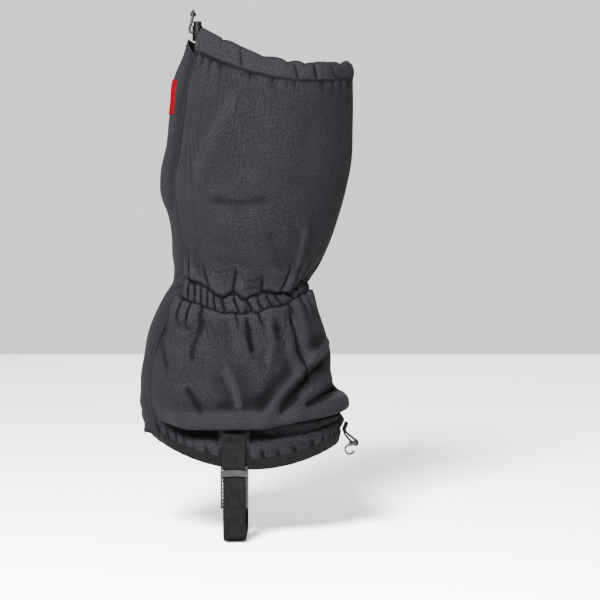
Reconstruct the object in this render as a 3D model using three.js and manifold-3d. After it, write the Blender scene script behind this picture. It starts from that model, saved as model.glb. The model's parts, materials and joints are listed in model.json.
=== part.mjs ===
// A hiking gaiter for a right leg, as it sits on a boot: a fabric leg with a gathered ankle, a rear zip
// under a storm flap, a drawcord at the top, a lace hook in front and a webbing strap under the boot.
// Millimetres, +Z up, +X towards the toe, -Y to the outer side of the leg. The origin is the middle of
// the sole strap's upper face, where the arch of the boot rests.
import * as THREE from "three";
import { mergeVertices } from "three/addons/utils/BufferGeometryUtils.js";
import Module from "manifold-3d";

const wasm = await Module();
wasm.setup();

// ---- Driving dimensions ----
const FABRIC = 1.0; // coated fabric with its seam allowance
const GAP = 0.3; // between pieces that are sewn together or lie on each other

const LOWER_HEIGHT = 132; // rear of the hem up to the ankle channel
const CHANNEL_HEIGHT = 15;
const UPPER_HEIGHT = 224; // ankle channel up to the rear of the rim
const HEM_REAR_Z = 93;
const HEM_WIDTH = 100;
const LOWER_WIDTH = 124;
const ANKLE_WIDTH = 87;
const CALF_WIDTH = 128;
const RIM_WIDTH = 112;

const BINDING_THICKNESS = 2.4;
const ELASTIC_THICKNESS = 1.0;
const FACING_THICKNESS = 0.8;
const CORD_DIAMETER = 2.4;
const CORD_ROOM = 5.4; // between the panel and its facing, where the drawcord runs

const ZIP_TOP = new THREE.Vector2(-47, 415); // x and z, on the rear line of the leg
const ZIP_LEAN = 0.14; // forward travel per unit of height, over the straight part
const ZIP_GAP = 6; // from the middle of the zip to the edge of a panel
const TAPE_WIDTH = 16;
const TAPE_THICKNESS = 0.7;
const CHAIN_HALF_WIDTH = 3.2;
const CHAIN_THICKNESS = 2.2;
const CHAIN_SLIT = 0.7; // half the slit that the slider's post runs in
const SLIDER_LENGTH = 11;
const PULL_LENGTH = 20;

const FLAP_HALF_WIDTH = 24;
const FLAP_RISE = 7.6; // over the slider and its pull
const PATCH_THICKNESS = 1.0; // of one half of a hook-and-loop pair

const WEBBING_WIDTH = 20;
const WEBBING = 1.5;
const STRAP_LEAN = THREE.MathUtils.degToRad(8);
const TAIL_LENGTH = 54;
const BUCKLE_BAR_RADIUS = 1.25;
const BUCKLE_RAIL = 1.7;

const HOOK_TAB_WIDTH = 16;
const HOOK_THICKNESS = 1.4;
const HOOK_TONGUE_WIDTH = 8;

const LOCK_RADIUS = 4.8;
const PLUNGER_RADIUS = 3.7;
const PLUNGER_TRAVEL = 3;

// ---- Materials ----
const paint = (color, roughness, metalness = 0) =>
  new THREE.MeshStandardMaterial({ color, roughness, metalness });
const SHELL = paint(0x33363a, 0.75);
const TRIM = paint(0x191817, 0.85);
const WEB = paint(0x141312, 0.9);
const CORD = paint(0x3a3a38, 0.8);
const PLASTIC = paint(0x121212, 0.45);
const STEEL = paint(0xa9a9a6, 0.3, 1);
const RED = paint(0xc2182b, 0.8);

const part = new THREE.Group();

function add(name, geometry, material, parent = part) {
  const mesh = new THREE.Mesh(geometry, material.clone());
  mesh.name = name;
  parent.add(mesh);
  return mesh;
}

// ---- The leg surface ----
// Sections from the bottom of the binding to the rim. The heights are drawn for the nominal lower and
// upper heights, and level() stretches them to the driving ones.
const DRAWN = { hem: 93, channel: 225, channelTop: 240, rim: 464 };

function level(z) {
  if (z <= DRAWN.channel) {
    return HEM_REAR_Z + ((z - DRAWN.hem) * LOWER_HEIGHT) / (DRAWN.channel - DRAWN.hem);
  }
  const channel = HEM_REAR_Z + LOWER_HEIGHT;
  if (z <= DRAWN.channelTop) {
    return channel + ((z - DRAWN.channel) * CHANNEL_HEIGHT) / (DRAWN.channelTop - DRAWN.channel);
  }
  const share = (z - DRAWN.channelTop) / (DRAWN.rim - DRAWN.channelTop);
  return channel + CHANNEL_HEIGHT + share * UPPER_HEIGHT;
}

// The rear of the upper leg is straight over this height, which the zip slider runs along.
const zipX = (z) => ZIP_TOP.x - ZIP_LEAN * (level(ZIP_TOP.y) - z);

function section(rear, front, sideZ, width) {
  const z = level(rear[1]);
  return {
    rear: new THREE.Vector2(rear[0] ?? zipX(z), z),
    front: new THREE.Vector2(front[0], level(front[1])),
    side: new THREE.Vector2(width / 2, level(sideZ)),
  };
}

const SECTIONS = [
  section([-77, 93], [93.5, 85], 65, HEM_WIDTH), // 0: bottom of the binding
  section([-79.5, 102], [96, 96], 75, HEM_WIDTH + 2), // 1: edge of the panels
  section([-82, 113], [100, 105], 92, HEM_WIDTH + 8),
  section([-83, 124], [101.5, 114], 108, LOWER_WIDTH), // 3: the fold that rests on the boot
  section([-83, 145], [88, 142], 138, LOWER_WIDTH - 2),
  section([-78.5, 172], [86.5, 170], 166, LOWER_WIDTH - 10),
  section([-69, 203], [76, 205], 190, ANKLE_WIDTH + 12),
  section([-57, 225], [66, 225], 205, ANKLE_WIDTH + 1), // 7: bottom of the ankle channel
  section([-51.5, 240], [62.5, 236], 220, ANKLE_WIDTH), // 8: top of the ankle channel
  section([-53, 265], [82, 260], 250, ANKLE_WIDTH + 13),
  section([-58, 295], [95, 295], 290, CALF_WIDTH - 12),
  section([null, 322], [102, 322], 320, CALF_WIDTH - 3), // 11: the rear is straight from here
  section([null, 352], [106.3, 345], 345, CALF_WIDTH),
  section([null, 384], [107, 372], 370, CALF_WIDTH),
  section([null, 415], [107.5, 395], 392, CALF_WIDTH - 2), // 14: to here
  section([-37.5, 443], [107, 417], 414.5, CALF_WIDTH - 6), // 15: stitching of the cord casing
  section([-31, 464], [104, 432], 431, RIM_WIDTH), // 16: rim
];
const BINDING_FOOT = 0;
const PANEL_EDGE = 1;
const CHANNEL_FOOT = 7;
const CHANNEL_HEAD = 8;
const STRAIGHT_FOOT = 11;
const STRAIGHT_HEAD = 14;
const CASING_FOOT = 15;
const RIM = 16;

const rearCurve = new THREE.SplineCurve(SECTIONS.map((s) => s.rear));
const frontCurve = new THREE.SplineCurve(SECTIONS.map((s) => s.front));
const sideCurve = new THREE.SplineCurve(SECTIONS.map((s) => s.side));

const halfWidth = (v) => sideCurve.getPoint(v / RIM).x;

// The angle round the leg of a point that lies y from its middle plane, at the rear. 0 is the front,
// PI the rear, and angles past PI lie on the outer side.
const rearAngle = (y, v) => Math.PI - Math.asin(y / halfWidth(v));

function rearPoint(v) {
  const rear = rearCurve.getPoint(v / RIM);
  return v > STRAIGHT_FOOT && v < STRAIGHT_HEAD ? rear.setX(zipX(rear.y)) : rear;
}

function legPoint(angle, v) {
  const rear = rearPoint(v);
  const front = frontCurve.getPoint(v / RIM);
  const side = sideCurve.getPoint(v / RIM);
  const back = (1 - Math.cos(angle)) / 2;
  const sag = side.y - (rear.y + front.y) / 2;
  return new THREE.Vector3(
    THREE.MathUtils.lerp(front.x, rear.x, back),
    side.x * Math.sin(angle),
    THREE.MathUtils.lerp(front.y, rear.y, back) + sag * Math.sin(angle) ** 2,
  );
}

function legNormal(angle, v) {
  const step = 0.01;
  const low = Math.max(v - step, 0);
  const high = Math.min(v + step, RIM);
  const round = legPoint(angle + step, v).sub(legPoint(angle - step, v));
  const up = legPoint(angle, high).sub(legPoint(angle, low));
  return round.cross(up).normalize();
}

// A point at a distance outwards from the leg surface.
function standOff(angle, v, distance) {
  return legPoint(angle, v).addScaledVector(legNormal(angle, v), distance);
}

// The rows of every sheet lie on the same sections, so that sheets on each other stay parallel. Rows
// are twice as close at the hem, the ankle channel and the cord casing, where the surface bends most.
const ROW_STEP = 0.25;
const CLOSEST_ROWS = 0.05;

function sheetLevels(from, to) {
  const atChannel = (v) => v > CHANNEL_FOOT - 0.5 && v < CHANNEL_HEAD + 0.5;
  const bent = (v) => v < 2 || atChannel(v) || v > CASING_FOOT;
  const levels = [from];
  const first = Math.ceil((from + CLOSEST_ROWS) / ROW_STEP + 0.1) * ROW_STEP;
  for (let v = first; v < to - CLOSEST_ROWS; v += ROW_STEP) {
    if (bent(v) || Number.isInteger(v / (2 * ROW_STEP))) levels.push(v);
  }
  return [...levels, to];
}

// A closed sheet on the leg surface. angles(v) gives its two edges, offset(share, v) how far its
// middle stands off the surface and head(share) its top, with share running from the first edge to the
// last. The angles may run either way round the leg.
function legSheet({ from, to, columns, angles, offset = () => 0, head = () => to, thickness = FABRIC }) {
  const positions = [];
  const faces = [];
  const levels = sheetLevels(from, to);
  const rows = levels.length - 1;
  const outwards = Math.sign(angles(from)[1] - angles(from)[0]);
  for (const side of [outwards, -outwards]) {
    for (let row = 0; row <= rows; row++) {
      for (let column = 0; column <= columns; column++) {
        const share = column / columns;
        const v = Math.min(levels[row], head(share) - (rows - row) * CLOSEST_ROWS);
        const [first, last] = angles(v);
        const angle = first + (last - first) * share;
        const reach = offset(share, v) + (side * thickness) / 2;
        positions.push(...standOff(angle, v, reach).toArray());
      }
    }
  }
  const layer = (rows + 1) * (columns + 1);
  const at = (row, column, side) => side * layer + row * (columns + 1) + column;
  const quad = (a, b, c, d) => faces.push(a, b, c, a, c, d);
  for (let row = 0; row < rows; row++) {
    for (let column = 0; column < columns; column++) {
      quad(at(row, column, 0), at(row, column + 1, 0), at(row + 1, column + 1, 0), at(row + 1, column, 0));
      quad(at(row, column, 1), at(row + 1, column, 1), at(row + 1, column + 1, 1), at(row, column + 1, 1));
    }
    quad(at(row, 0, 0), at(row + 1, 0, 0), at(row + 1, 0, 1), at(row, 0, 1));
    quad(at(row, columns, 0), at(row, columns, 1), at(row + 1, columns, 1), at(row + 1, columns, 0));
  }
  for (let column = 0; column < columns; column++) {
    quad(at(0, column, 0), at(0, column, 1), at(0, column + 1, 1), at(0, column + 1, 0));
    quad(at(rows, column, 0), at(rows, column + 1, 0), at(rows, column + 1, 1), at(rows, column, 1));
  }
  return new THREE.BufferGeometry()
    .setAttribute("position", new THREE.Float32BufferAttribute(positions, 3))
    .setIndex(faces);
}

// ---- Solids and booleans ----
function solid(geometry) {
  const bare = geometry.index ? geometry.toNonIndexed() : geometry.clone();
  bare.deleteAttribute("normal");
  bare.deleteAttribute("uv");
  const merged = mergeVertices(bare, 1e-4);
  return new wasm.Manifold(
    new wasm.Mesh({
      numProp: 3,
      vertProperties: merged.attributes.position.array,
      triVerts: new Uint32Array(merged.index.array),
    }),
  );
}

function geometryOf(manifold) {
  const mesh = manifold.getMesh();
  return new THREE.BufferGeometry()
    .setAttribute("position", new THREE.BufferAttribute(mesh.vertProperties, 3))
    .setIndex(new THREE.BufferAttribute(mesh.triVerts, 1));
}

const union = (...geometries) => geometries.map(solid).reduce((a, b) => a.add(b));

function box(low, high) {
  const size = high.map((h, i) => h - low[i]);
  const middle = high.map((h, i) => (h + low[i]) / 2);
  return new THREE.BoxGeometry(...size).translate(...middle);
}

// A round bar along X, Y or Z between two coordinates.
function bar(axis, radius, from, to, centre, sides = 16) {
  const geometry = new THREE.CylinderGeometry(radius, radius, to - from, sides);
  if (axis === "x") geometry.rotateZ(-Math.PI / 2);
  if (axis === "z") geometry.rotateX(Math.PI / 2);
  const middle = { x: 0, y: 0, z: 0, ...centre };
  middle[axis] += (from + to) / 2;
  return geometry.translate(middle.x, middle.y, middle.z);
}

// The closed outline of a strip of the given thickness along a line of 2D points.
function stripShape(points, thickness) {
  const sides = [[], []];
  points.forEach((point, i) => {
    const before = points[Math.max(i - 1, 0)];
    const after = points[Math.min(i + 1, points.length - 1)];
    const along = after.clone().sub(before).normalize();
    const across = new THREE.Vector2(-along.y, along.x).multiplyScalar(thickness / 2);
    sides[0].push(point.clone().add(across));
    sides[1].unshift(point.clone().sub(across));
  });
  return new THREE.Shape([...sides[0], ...sides[1]]);
}

// A strap: a strip drawn in a plane and extruded to its width. In the "yz" plane the width lies along
// X, and in the "xz" plane along Y.
function strap(points, thickness, width, plane) {
  const geometry = new THREE.ExtrudeGeometry(stripShape(points, thickness), {
    depth: width,
    bevelEnabled: false,
  }).translate(0, 0, -width / 2);
  return plane === "yz"
    ? geometry.rotateX(Math.PI / 2).rotateZ(Math.PI / 2)
    : geometry.rotateX(Math.PI / 2);
}

const pathPoints = (path, divisions) => path.getPoints(divisions);

// ---- Fabric leg: two panels that meet at a front seam and at the zip ----
const PANEL_COLUMNS = 20;

function panelAngles(v) {
  return [rearAngle(-ZIP_GAP, v), 2 * Math.PI - Math.asin(GAP / 2 / halfWidth(v))];
}

// Adds a piece of the outer side and its mirror image on the inner side.
function addPair(outerName, innerName, geometry, material) {
  add(outerName, geometry, material);
  add(innerName, geometry.clone(), material).scale.y = -1;
}

const EDGE_ROOM = 0.04; // between the panels and the binding, in sections
const panel = legSheet({
  from: PANEL_EDGE + EDGE_ROOM,
  to: RIM,
  columns: PANEL_COLUMNS,
  angles: panelAngles,
});
addPair("outer_panel", "inner_panel", panel, SHELL);

// The facing closes the cord casing on the inside of each panel.
const FACING_INSET = 10; // its rear edge to the middle of the zip
const facingOffset = (share, v) => {
  const rise = Math.sin((Math.PI * (v - CASING_FOOT)) / (RIM - CASING_FOOT));
  return -(FABRIC + FACING_THICKNESS) / 2 - GAP - CORD_ROOM * rise;
};
const facing = legSheet({
  from: CASING_FOOT,
  to: RIM,
  columns: PANEL_COLUMNS,
  angles: (v) => [rearAngle(-FACING_INSET, v), panelAngles(v)[1]],
  offset: facingOffset,
  thickness: FACING_THICKNESS,
});
addPair("outer_cord_facing", "inner_cord_facing", facing, SHELL);

// ---- Ankle elastic in its channel, and the elastic binding of the hem ----
// An arc from the zip tape on the outer side, round the front, to the tape on the inner side.
const aroundFront = (rearY) => (v) => [rearAngle(-rearY, v), 3 * Math.PI + Math.asin(-rearY / halfWidth(v))];
const ELASTIC_END = TAPE_WIDTH + 2;
const elasticOffset = -(FABRIC + ELASTIC_THICKNESS) / 2 - GAP;
const CHANNEL_INSET = 0.12; // clear of the two rows of stitching

add(
  "ankle_elastic",
  legSheet({
    from: CHANNEL_FOOT + CHANNEL_INSET,
    to: CHANNEL_HEAD - CHANNEL_INSET,
    columns: 40,
    angles: aroundFront(ELASTIC_END),
    offset: () => elasticOffset,
    thickness: ELASTIC_THICKNESS,
  }),
  TRIM,
);
add(
  "ankle_channel_strip",
  legSheet({
    from: CHANNEL_FOOT,
    to: CHANNEL_HEAD,
    columns: 40,
    angles: aroundFront(ELASTIC_END),
    offset: () => elasticOffset - (ELASTIC_THICKNESS + FACING_THICKNESS) / 2 - GAP,
    thickness: FACING_THICKNESS,
  }),
  SHELL,
);
add(
  "hem_binding",
  legSheet({
    from: BINDING_FOOT,
    to: PANEL_EDGE,
    columns: 40,
    angles: aroundFront(ZIP_GAP),
    thickness: BINDING_THICKNESS,
  }),
  TRIM,
);

// ---- Zip ----
const ZIP_HEAD = STRAIGHT_HEAD;
const tapeOffset = -(FABRIC + TAPE_THICKNESS) / 2 - GAP;
const TAPE_FOOT = PANEL_EDGE + 0.2;

const tape = legSheet({
  from: TAPE_FOOT,
  to: ZIP_HEAD,
  columns: 3,
  angles: (v) => [rearAngle(-CHAIN_SLIT, v), rearAngle(-TAPE_WIDTH, v)],
  offset: () => tapeOffset,
  thickness: TAPE_THICKNESS,
});
addPair("outer_zip_tape", "inner_zip_tape", tape, TRIM);

const chainOffset = tapeOffset + (TAPE_THICKNESS + CHAIN_THICKNESS) / 2 + GAP;
const chain = legSheet({
  from: TAPE_FOOT + 0.8,
  to: ZIP_HEAD - 0.3,
  columns: 1,
  angles: (v) => [rearAngle(-CHAIN_SLIT, v), rearAngle(-CHAIN_HALF_WIDTH, v)],
  offset: () => chainOffset,
  thickness: CHAIN_THICKNESS,
});
addPair("outer_zip_coil", "inner_zip_coil", chain, TRIM);

// The zip's own frame: -X away from the leg, +Z up the zip.
const zipAngle = Math.atan(ZIP_LEAN);

function zipGroup(z) {
  const group = new THREE.Group();
  group.position.set(zipX(z), 0, z);
  group.rotation.y = zipAngle;
  part.add(group);
  return group;
}

const coilFront = chainOffset + CHAIN_THICKNESS / 2;
const tapeBack = tapeOffset - TAPE_THICKNESS / 2;
const PLATE = 0.9;
const SLIDER_Z = level(402);
const SLIDER_HALF_WIDTH = CHAIN_HALF_WIDTH + 1.4;
const POST = 0.4;
const PIVOT_OUT = coilFront + GAP + PLATE + 1.3;
const PIVOT_UP = 2.2;
const LUG = 0.9;
const FLANGE = 0.9;
const FUSE = 0.1; // overlap that joins the slider's boxes into one body

function slider() {
  const half = SLIDER_LENGTH / 2;
  const front = coilFront + GAP;
  const back = tapeBack - 2 * GAP;
  const flange = [SLIDER_HALF_WIDTH - FLANGE, SLIDER_HALF_WIDTH];
  const flangeBack = tapeOffset + TAPE_THICKNESS / 2 + GAP;
  const shell = union(
    box([-front - PLATE, -SLIDER_HALF_WIDTH, -half], [-front, SLIDER_HALF_WIDTH, half]),
    box([-back, -SLIDER_HALF_WIDTH, -half], [-back + PLATE, SLIDER_HALF_WIDTH, half]),
    box([-front - FUSE, -POST, -half + 1], [-back + FUSE, POST, half - 1]),
    box([-front - FUSE, flange[0], -half], [-flangeBack, flange[1], half]),
    box([-front - FUSE, -flange[1], -half], [-flangeBack, -flange[0], half]),
    box([-PIVOT_OUT - LUG, -LUG, PIVOT_UP - 3], [-front, LUG, PIVOT_UP + 1.6]),
  );
  const eye = solid(bar("y", 0.8, -2, 2, { x: -PIVOT_OUT, z: PIVOT_UP }));
  return geometryOf(shell.subtract(eye));
}

function pull() {
  const arm = LUG + GAP;
  const thick = 0.5;
  const tab = union(
    bar("y", 0.5, -arm - 0.9, arm + 0.9, { x: -PIVOT_OUT, z: PIVOT_UP }, 12),
    box([-PIVOT_OUT - thick, arm, PIVOT_UP - 5], [-PIVOT_OUT + thick, arm + 1, PIVOT_UP + 0.5]),
    box([-PIVOT_OUT - thick, -arm - 1, PIVOT_UP - 5], [-PIVOT_OUT + thick, -arm, PIVOT_UP + 0.5]),
    box([-PIVOT_OUT - thick, -3, PIVOT_UP - PULL_LENGTH], [-PIVOT_OUT + thick, 3, PIVOT_UP - 4.5]),
  );
  return geometryOf(tab);
}

const sliderGroup = zipGroup(SLIDER_Z);
add("zip_slider", slider(), STEEL, sliderGroup);
add("zip_pull", pull(), STEEL, sliderGroup);

// Two stops clamped on the tapes above the slider.
const stopGroup = zipGroup(SLIDER_Z + SLIDER_LENGTH / 2 + 1.6);
const stop = box([-coilFront, CHAIN_SLIT, -0.9], [-(coilFront - CHAIN_THICKNESS), CHAIN_HALF_WIDTH - 0.4, 0.9]);
add("inner_top_stop", stop, STEEL, stopGroup);
add("outer_top_stop", stop.clone(), STEEL, stopGroup).scale.y = -1;

// The retainer box at the foot of the zip, with the pin of the outer side standing in it.
const footRear = rearPoint(TAPE_FOOT + 0.4);
const footRise = rearPoint(TAPE_FOOT + 0.8).sub(rearPoint(TAPE_FOOT));
const footGroup = new THREE.Group();
footGroup.position.set(footRear.x, 0, footRear.y);
footGroup.rotation.y = Math.atan2(footRise.x, footRise.y);
part.add(footGroup);
const PIN_RADIUS = 0.8;
const BOX_HALF_HEIGHT = 3.2;
const pinPlace = { x: -chainOffset, y: -2 };
const boxBody = solid(
  box([-coilFront - 0.4, -CHAIN_HALF_WIDTH - 0.8, -BOX_HALF_HEIGHT], [-0.1, CHAIN_HALF_WIDTH + 0.8, BOX_HALF_HEIGHT]),
).subtract(solid(bar("z", PIN_RADIUS + GAP, -BOX_HALF_HEIGHT + 1, BOX_HALF_HEIGHT + 1, pinPlace)));
add("zip_retainer_box", geometryOf(boxBody), PLASTIC, footGroup);
add(
  "zip_insertion_pin",
  bar("z", PIN_RADIUS, -BOX_HALF_HEIGHT + 1 + GAP, BOX_HALF_HEIGHT + 1.2, pinPlace, 12),
  PLASTIC,
  footGroup,
);

// ---- Storm flap over the zip, with its hook-and-loop patches and the side label ----
const FLAP_FOOT = 0.5;
const FLAP_HEAD = 15.35;
const SLIDER_ZONE = [9.9, 10.9]; // sections between which the flap lifts to clear the slider
const PATCH_STACK = 2 * PATCH_THICKNESS + 2 * GAP;

const flapRise = (v) =>
  THREE.MathUtils.lerp(3.1, FLAP_RISE, THREE.MathUtils.smoothstep(v, ...SLIDER_ZONE));

// Middle of the flap above the leg surface: flat at the sewn edge, lifted over the zip, and at the
// free edge as high as the patches under it.
function flapOffset(share, v) {
  const lifted = Math.sin(Math.PI * Math.min(share / 0.9, 1)) ** 0.8;
  const seated = THREE.MathUtils.smoothstep(share, 0.35, 0.72) * PATCH_STACK;
  const overBinding = (BINDING_THICKNESS - FABRIC) / 2 + GAP;
  const step = overBinding * (1 - THREE.MathUtils.smoothstep(v, PANEL_EDGE + 0.3, PANEL_EDGE + 1.5));
  return FABRIC + GAP + step + Math.max(lifted * flapRise(v), seated);
}

// The top edge slopes down to the sewn edge.
const flapHead = (share) => FLAP_HEAD - 0.55 * (1 - THREE.MathUtils.smoothstep(share, 0, 0.55));

// The angles between two shares of the flap's width.
const flapAngles = (low, high) => (v) => {
  const first = rearAngle(-FLAP_HALF_WIDTH, v);
  const last = rearAngle(FLAP_HALF_WIDTH, v);
  return [first + (last - first) * low, first + (last - first) * high];
};

add(
  "storm_flap",
  legSheet({
    from: FLAP_FOOT,
    to: FLAP_HEAD,
    columns: 16,
    angles: flapAngles(0, 1),
    offset: flapOffset,
    head: flapHead,
  }),
  SHELL,
);

// Three pairs of patches near the flap's free edge: loops on the inner panel, hooks on the flap.
const PATCHES = {
  top: [12.5, 14],
  middle: [9.5, 11],
  bottom: [3.5, 5.5],
};
const PATCH_SHARE = [0.75, 0.9375];
for (const [place, [from, to]] of Object.entries(PATCHES)) {
  const [low, high] = PATCH_SHARE;
  const common = { from, to, columns: 3, angles: flapAngles(low, high), thickness: PATCH_THICKNESS };
  const under = -(FABRIC + PATCH_THICKNESS) / 2 - GAP;
  const hooksAt = (share, v) => flapOffset(low + (high - low) * share, v) + under;
  add(`hook_patch_${place}`, legSheet({ ...common, offset: hooksAt }), TRIM);
  add(`loop_patch_${place}`, legSheet({ ...common, offset: () => -under }), TRIM);
}

const LABEL_THICKNESS = 0.6;
const LABEL_SHARE = [0.25, 0.5];
add(
  "side_label",
  legSheet({
    from: 13,
    to: 14,
    columns: 4,
    angles: flapAngles(...LABEL_SHARE),
    offset: (share, v) => {
      const [low, high] = LABEL_SHARE;
      return flapOffset(low + (high - low) * share, v) + (FABRIC + LABEL_THICKNESS) / 2 + GAP;
    },
    thickness: LABEL_THICKNESS,
  }),
  RED,
);

// ---- Drawcord in the casing, and the lock between its two ends ----
const rimRear = rearPoint(RIM);
const LOCK = new THREE.Vector3(rimRear.x - 4, 0, rimRear.y - 3.5); // where the cords cross it
const CORD_SIDE = CORD_DIAMETER / 2 + 0.15;
const CASING_MIDDLE = CASING_FOOT + 0.5;
const CASING_ENTRY = 12; // from the middle plane, inside the casing

function drawcordPoints() {
  const first = rearAngle(-CASING_ENTRY, CASING_MIDDLE);
  const last = 4 * Math.PI - first;
  const inset = -(FABRIC + CORD_ROOM) / 2 - 0.2;
  const casing = [];
  const spans = 22;
  for (let i = 0; i <= spans; i++) {
    const angle = THREE.MathUtils.lerp(first, last, i / spans);
    casing.push(standOff(angle, CASING_MIDDLE, inset));
  }
  const end = [
    [-4, -0.2, 20.5],
    [-4.4, -0.1, 14],
    [-5.6, 0, 8.6],
    [-7.1, 0, 4.8],
    [-7.1, 0, 1.7],
    [-5.4, 0, 0.1],
    [0, 0, 0],
    [5.2, 0, 0],
    [6.7, -0.5, -1.5],
    [6.1, -2.8, -4.6],
    [4.6, -6.4, -6.4],
  ].map(([x, y, z]) => new THREE.Vector3(x, y - CORD_SIDE, z).add(LOCK));
  const mirrored = end.map((p) => new THREE.Vector3(p.x, -p.y, p.z)).reverse();
  return [...end, ...casing, ...mirrored];
}

const cordCurve = new THREE.CatmullRomCurve3(drawcordPoints(), false, "centripetal");
// Every span between route points takes the same number of steps, so the tight bends stay round.
cordCurve.getUtoTmapping = (u) => u;
const cordProfile = new THREE.Shape();
cordProfile.absarc(0, 0, CORD_DIAMETER / 2, 0, 2 * Math.PI);
add(
  "drawcord",
  new THREE.ExtrudeGeometry(new THREE.Shape(cordProfile.getSpacedPoints(8).slice(0, 8)), {
    steps: 80,
    extrudePath: cordCurve,
  }),
  CORD,
);

// The lock's barrel and its spring-loaded plunger, both with a slot across for the two cords.
const BORE_RADIUS = PLUNGER_RADIUS + GAP;
const SLOT = { half: 2 * CORD_SIDE + 0.1, low: -1.55, high: 1.55 };
const BARREL = { low: -7.5, floor: -6.4, high: 6 };

function lockBarrel() {
  const bore = bar("z", BORE_RADIUS, BARREL.floor, BARREL.high + 1, {}, 32);
  const slot = box([-LOCK_RADIUS - 1, -SLOT.half, SLOT.low], [LOCK_RADIUS + 1, SLOT.half, SLOT.high]);
  return geometryOf(
    solid(bar("z", LOCK_RADIUS, BARREL.low, BARREL.high, {}, 32))
      .subtract(solid(bore))
      .subtract(solid(slot)),
  );
}

function lockPlunger() {
  const slot = box([-LOCK_RADIUS, -SLOT.half, SLOT.low], [LOCK_RADIUS, SLOT.half, SLOT.high + PLUNGER_TRAVEL]);
  const low = BARREL.floor + GAP + PLUNGER_TRAVEL;
  const high = BARREL.high + PLUNGER_TRAVEL + 1;
  return geometryOf(solid(bar("z", PLUNGER_RADIUS, low, high, {}, 24)).subtract(solid(slot)));
}
add("cord_lock_barrel", lockBarrel(), PLASTIC).position.copy(LOCK);
add("cord_lock_plunger", lockPlunger(), PLASTIC).position.copy(LOCK);

// ---- Sole strap, its buckle and the anchors on the hem ----
// Where a strap lies on the outer side of the leg, over the arch. A negative angle's sine gives the
// outer side, and the inner side mirrors it.
function strapOnLeg(v, distance) {
  const front = frontCurve.getPoint(v / RIM).x;
  const back = front / (front - rearPoint(v).x);
  const point = standOff(2 * Math.PI - Math.acos(1 - 2 * back), v, distance);
  return new THREE.Vector2(point.y, point.z);
}
const ON_PANEL = FABRIC / 2 + GAP + WEBBING / 2;
const ON_BINDING = BINDING_THICKNESS / 2 + GAP + WEBBING / 2;
const onHem = ([v, distance]) => strapOnLeg(v, distance);
const SECOND_PLY = WEBBING + GAP;

// The buckle's plane leans with the strap. d is the distance outwards and h the height up the strap.
const hemFoot = strapOnLeg(BINDING_FOOT, 0);
const BUCKLE_DROP = 12.5; // below the foot of the hem
const BUCKLE = new THREE.Vector2(hemFoot.x - 3.2, hemFoot.y - BUCKLE_DROP);

function onBuckle(d, h) {
  const sin = Math.sin(STRAP_LEAN);
  const cos = Math.cos(STRAP_LEAN);
  return new THREE.Vector2(BUCKLE.x - cos * d - sin * h, BUCKLE.y - sin * d + cos * h);
}

const ANCHOR_BAR = { d: 0, h: 14 };
const WRAP_BAR = { d: 0.5, h: 5 };
const FOOT_BAR = { d: 0.5, h: -22, radius: 0.9 };
const BEND = BUCKLE_BAR_RADIUS + GAP + WEBBING / 2;
const SPLIT_H = -26; // where the loose end and the sole strap part, behind the buckle

// Points of a half turn round a bar, from the angle start to the angle end.
function turn(centre, start, end, steps = 10) {
  const points = [];
  for (let i = 0; i <= steps; i++) {
    const angle = start + ((end - start) * i) / steps;
    points.push(onBuckle(centre.d + BEND * Math.cos(angle), centre.h + BEND * Math.sin(angle)));
  }
  return points;
}

// Up behind the lower bars, over the wrap bar, and down in front as the loose tail.
const freeEnd = [
  onBuckle(WRAP_BAR.d - BEND, SPLIT_H),
  onBuckle(WRAP_BAR.d - BEND, -10),
  ...turn(WRAP_BAR, Math.PI, 0),
  onBuckle(WRAP_BAR.d + BEND, -16),
  onBuckle(WRAP_BAR.d + BEND, WRAP_BAR.h - TAIL_LENGTH),
];
add("strap_free_end", strap(freeEnd, WEBBING, WEBBING_WIDTH, "yz"), WEB);

// From the buckle down, under the boot and up to the inner side of the hem.
const SOLE_CORNER = 14; // depth of the curve at the edge of the sole
const SOLE_CORNER_RISE = 9;
const soleZ = -WEBBING / 2;
const runFoot = onBuckle(WRAP_BAR.d - BEND, (SOLE_CORNER_RISE - BUCKLE.y) / Math.cos(STRAP_LEAN));
const flatEnd = runFoot.x + SOLE_CORNER;
const solePath = new THREE.Path()
  .moveTo(...onBuckle(WRAP_BAR.d - BEND, SPLIT_H - GAP).toArray())
  .lineTo(...runFoot.toArray())
  .quadraticCurveTo(runFoot.x + 1.4, soleZ, flatEnd, soleZ)
  .lineTo(-flatEnd, soleZ)
  .quadraticCurveTo(-runFoot.x - 1.4, soleZ, -runFoot.x, runFoot.y);
// Places up the hem and the strap's distance from it there, which clears the curve between them.
const SEWN = [
  [PANEL_EDGE, ON_BINDING + 0.3],
  [PANEL_EDGE + 0.4, ON_PANEL + 0.85],
  [PANEL_EDGE + 0.8, ON_PANEL + 0.6],
  [PANEL_EDGE + 1.2, ON_PANEL + 0.75],
];
const innerSewn = SEWN.map(onHem).map((point) => point.setX(-point.x));
const solePoints = [...solePath.getPoints(6), ...innerSewn];
add("sole_strap", strap(solePoints, WEBBING, WEBBING_WIDTH, "yz"), WEB);

// The outer anchor: sewn to the hem, down behind the anchor bar, round it and back up.
const anchor = [
  ...SEWN.map(onHem).reverse(),
  ...turn(ANCHOR_BAR, Math.PI, 2 * Math.PI),
  ...SEWN.map(([v, distance]) => onHem([v, distance + SECOND_PLY])),
];
add("strap_anchor", strap(anchor, WEBBING, WEBBING_WIDTH, "yz"), WEB);

const WEB_ROOM = WEBBING_WIDTH / 2 + 0.4;
const RAIL_OUT = WEB_ROOM + BUCKLE_RAIL;
const HOOD = { low: 6.5, high: 12.5, depth: 3.9, thickness: 1.2 };

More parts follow.
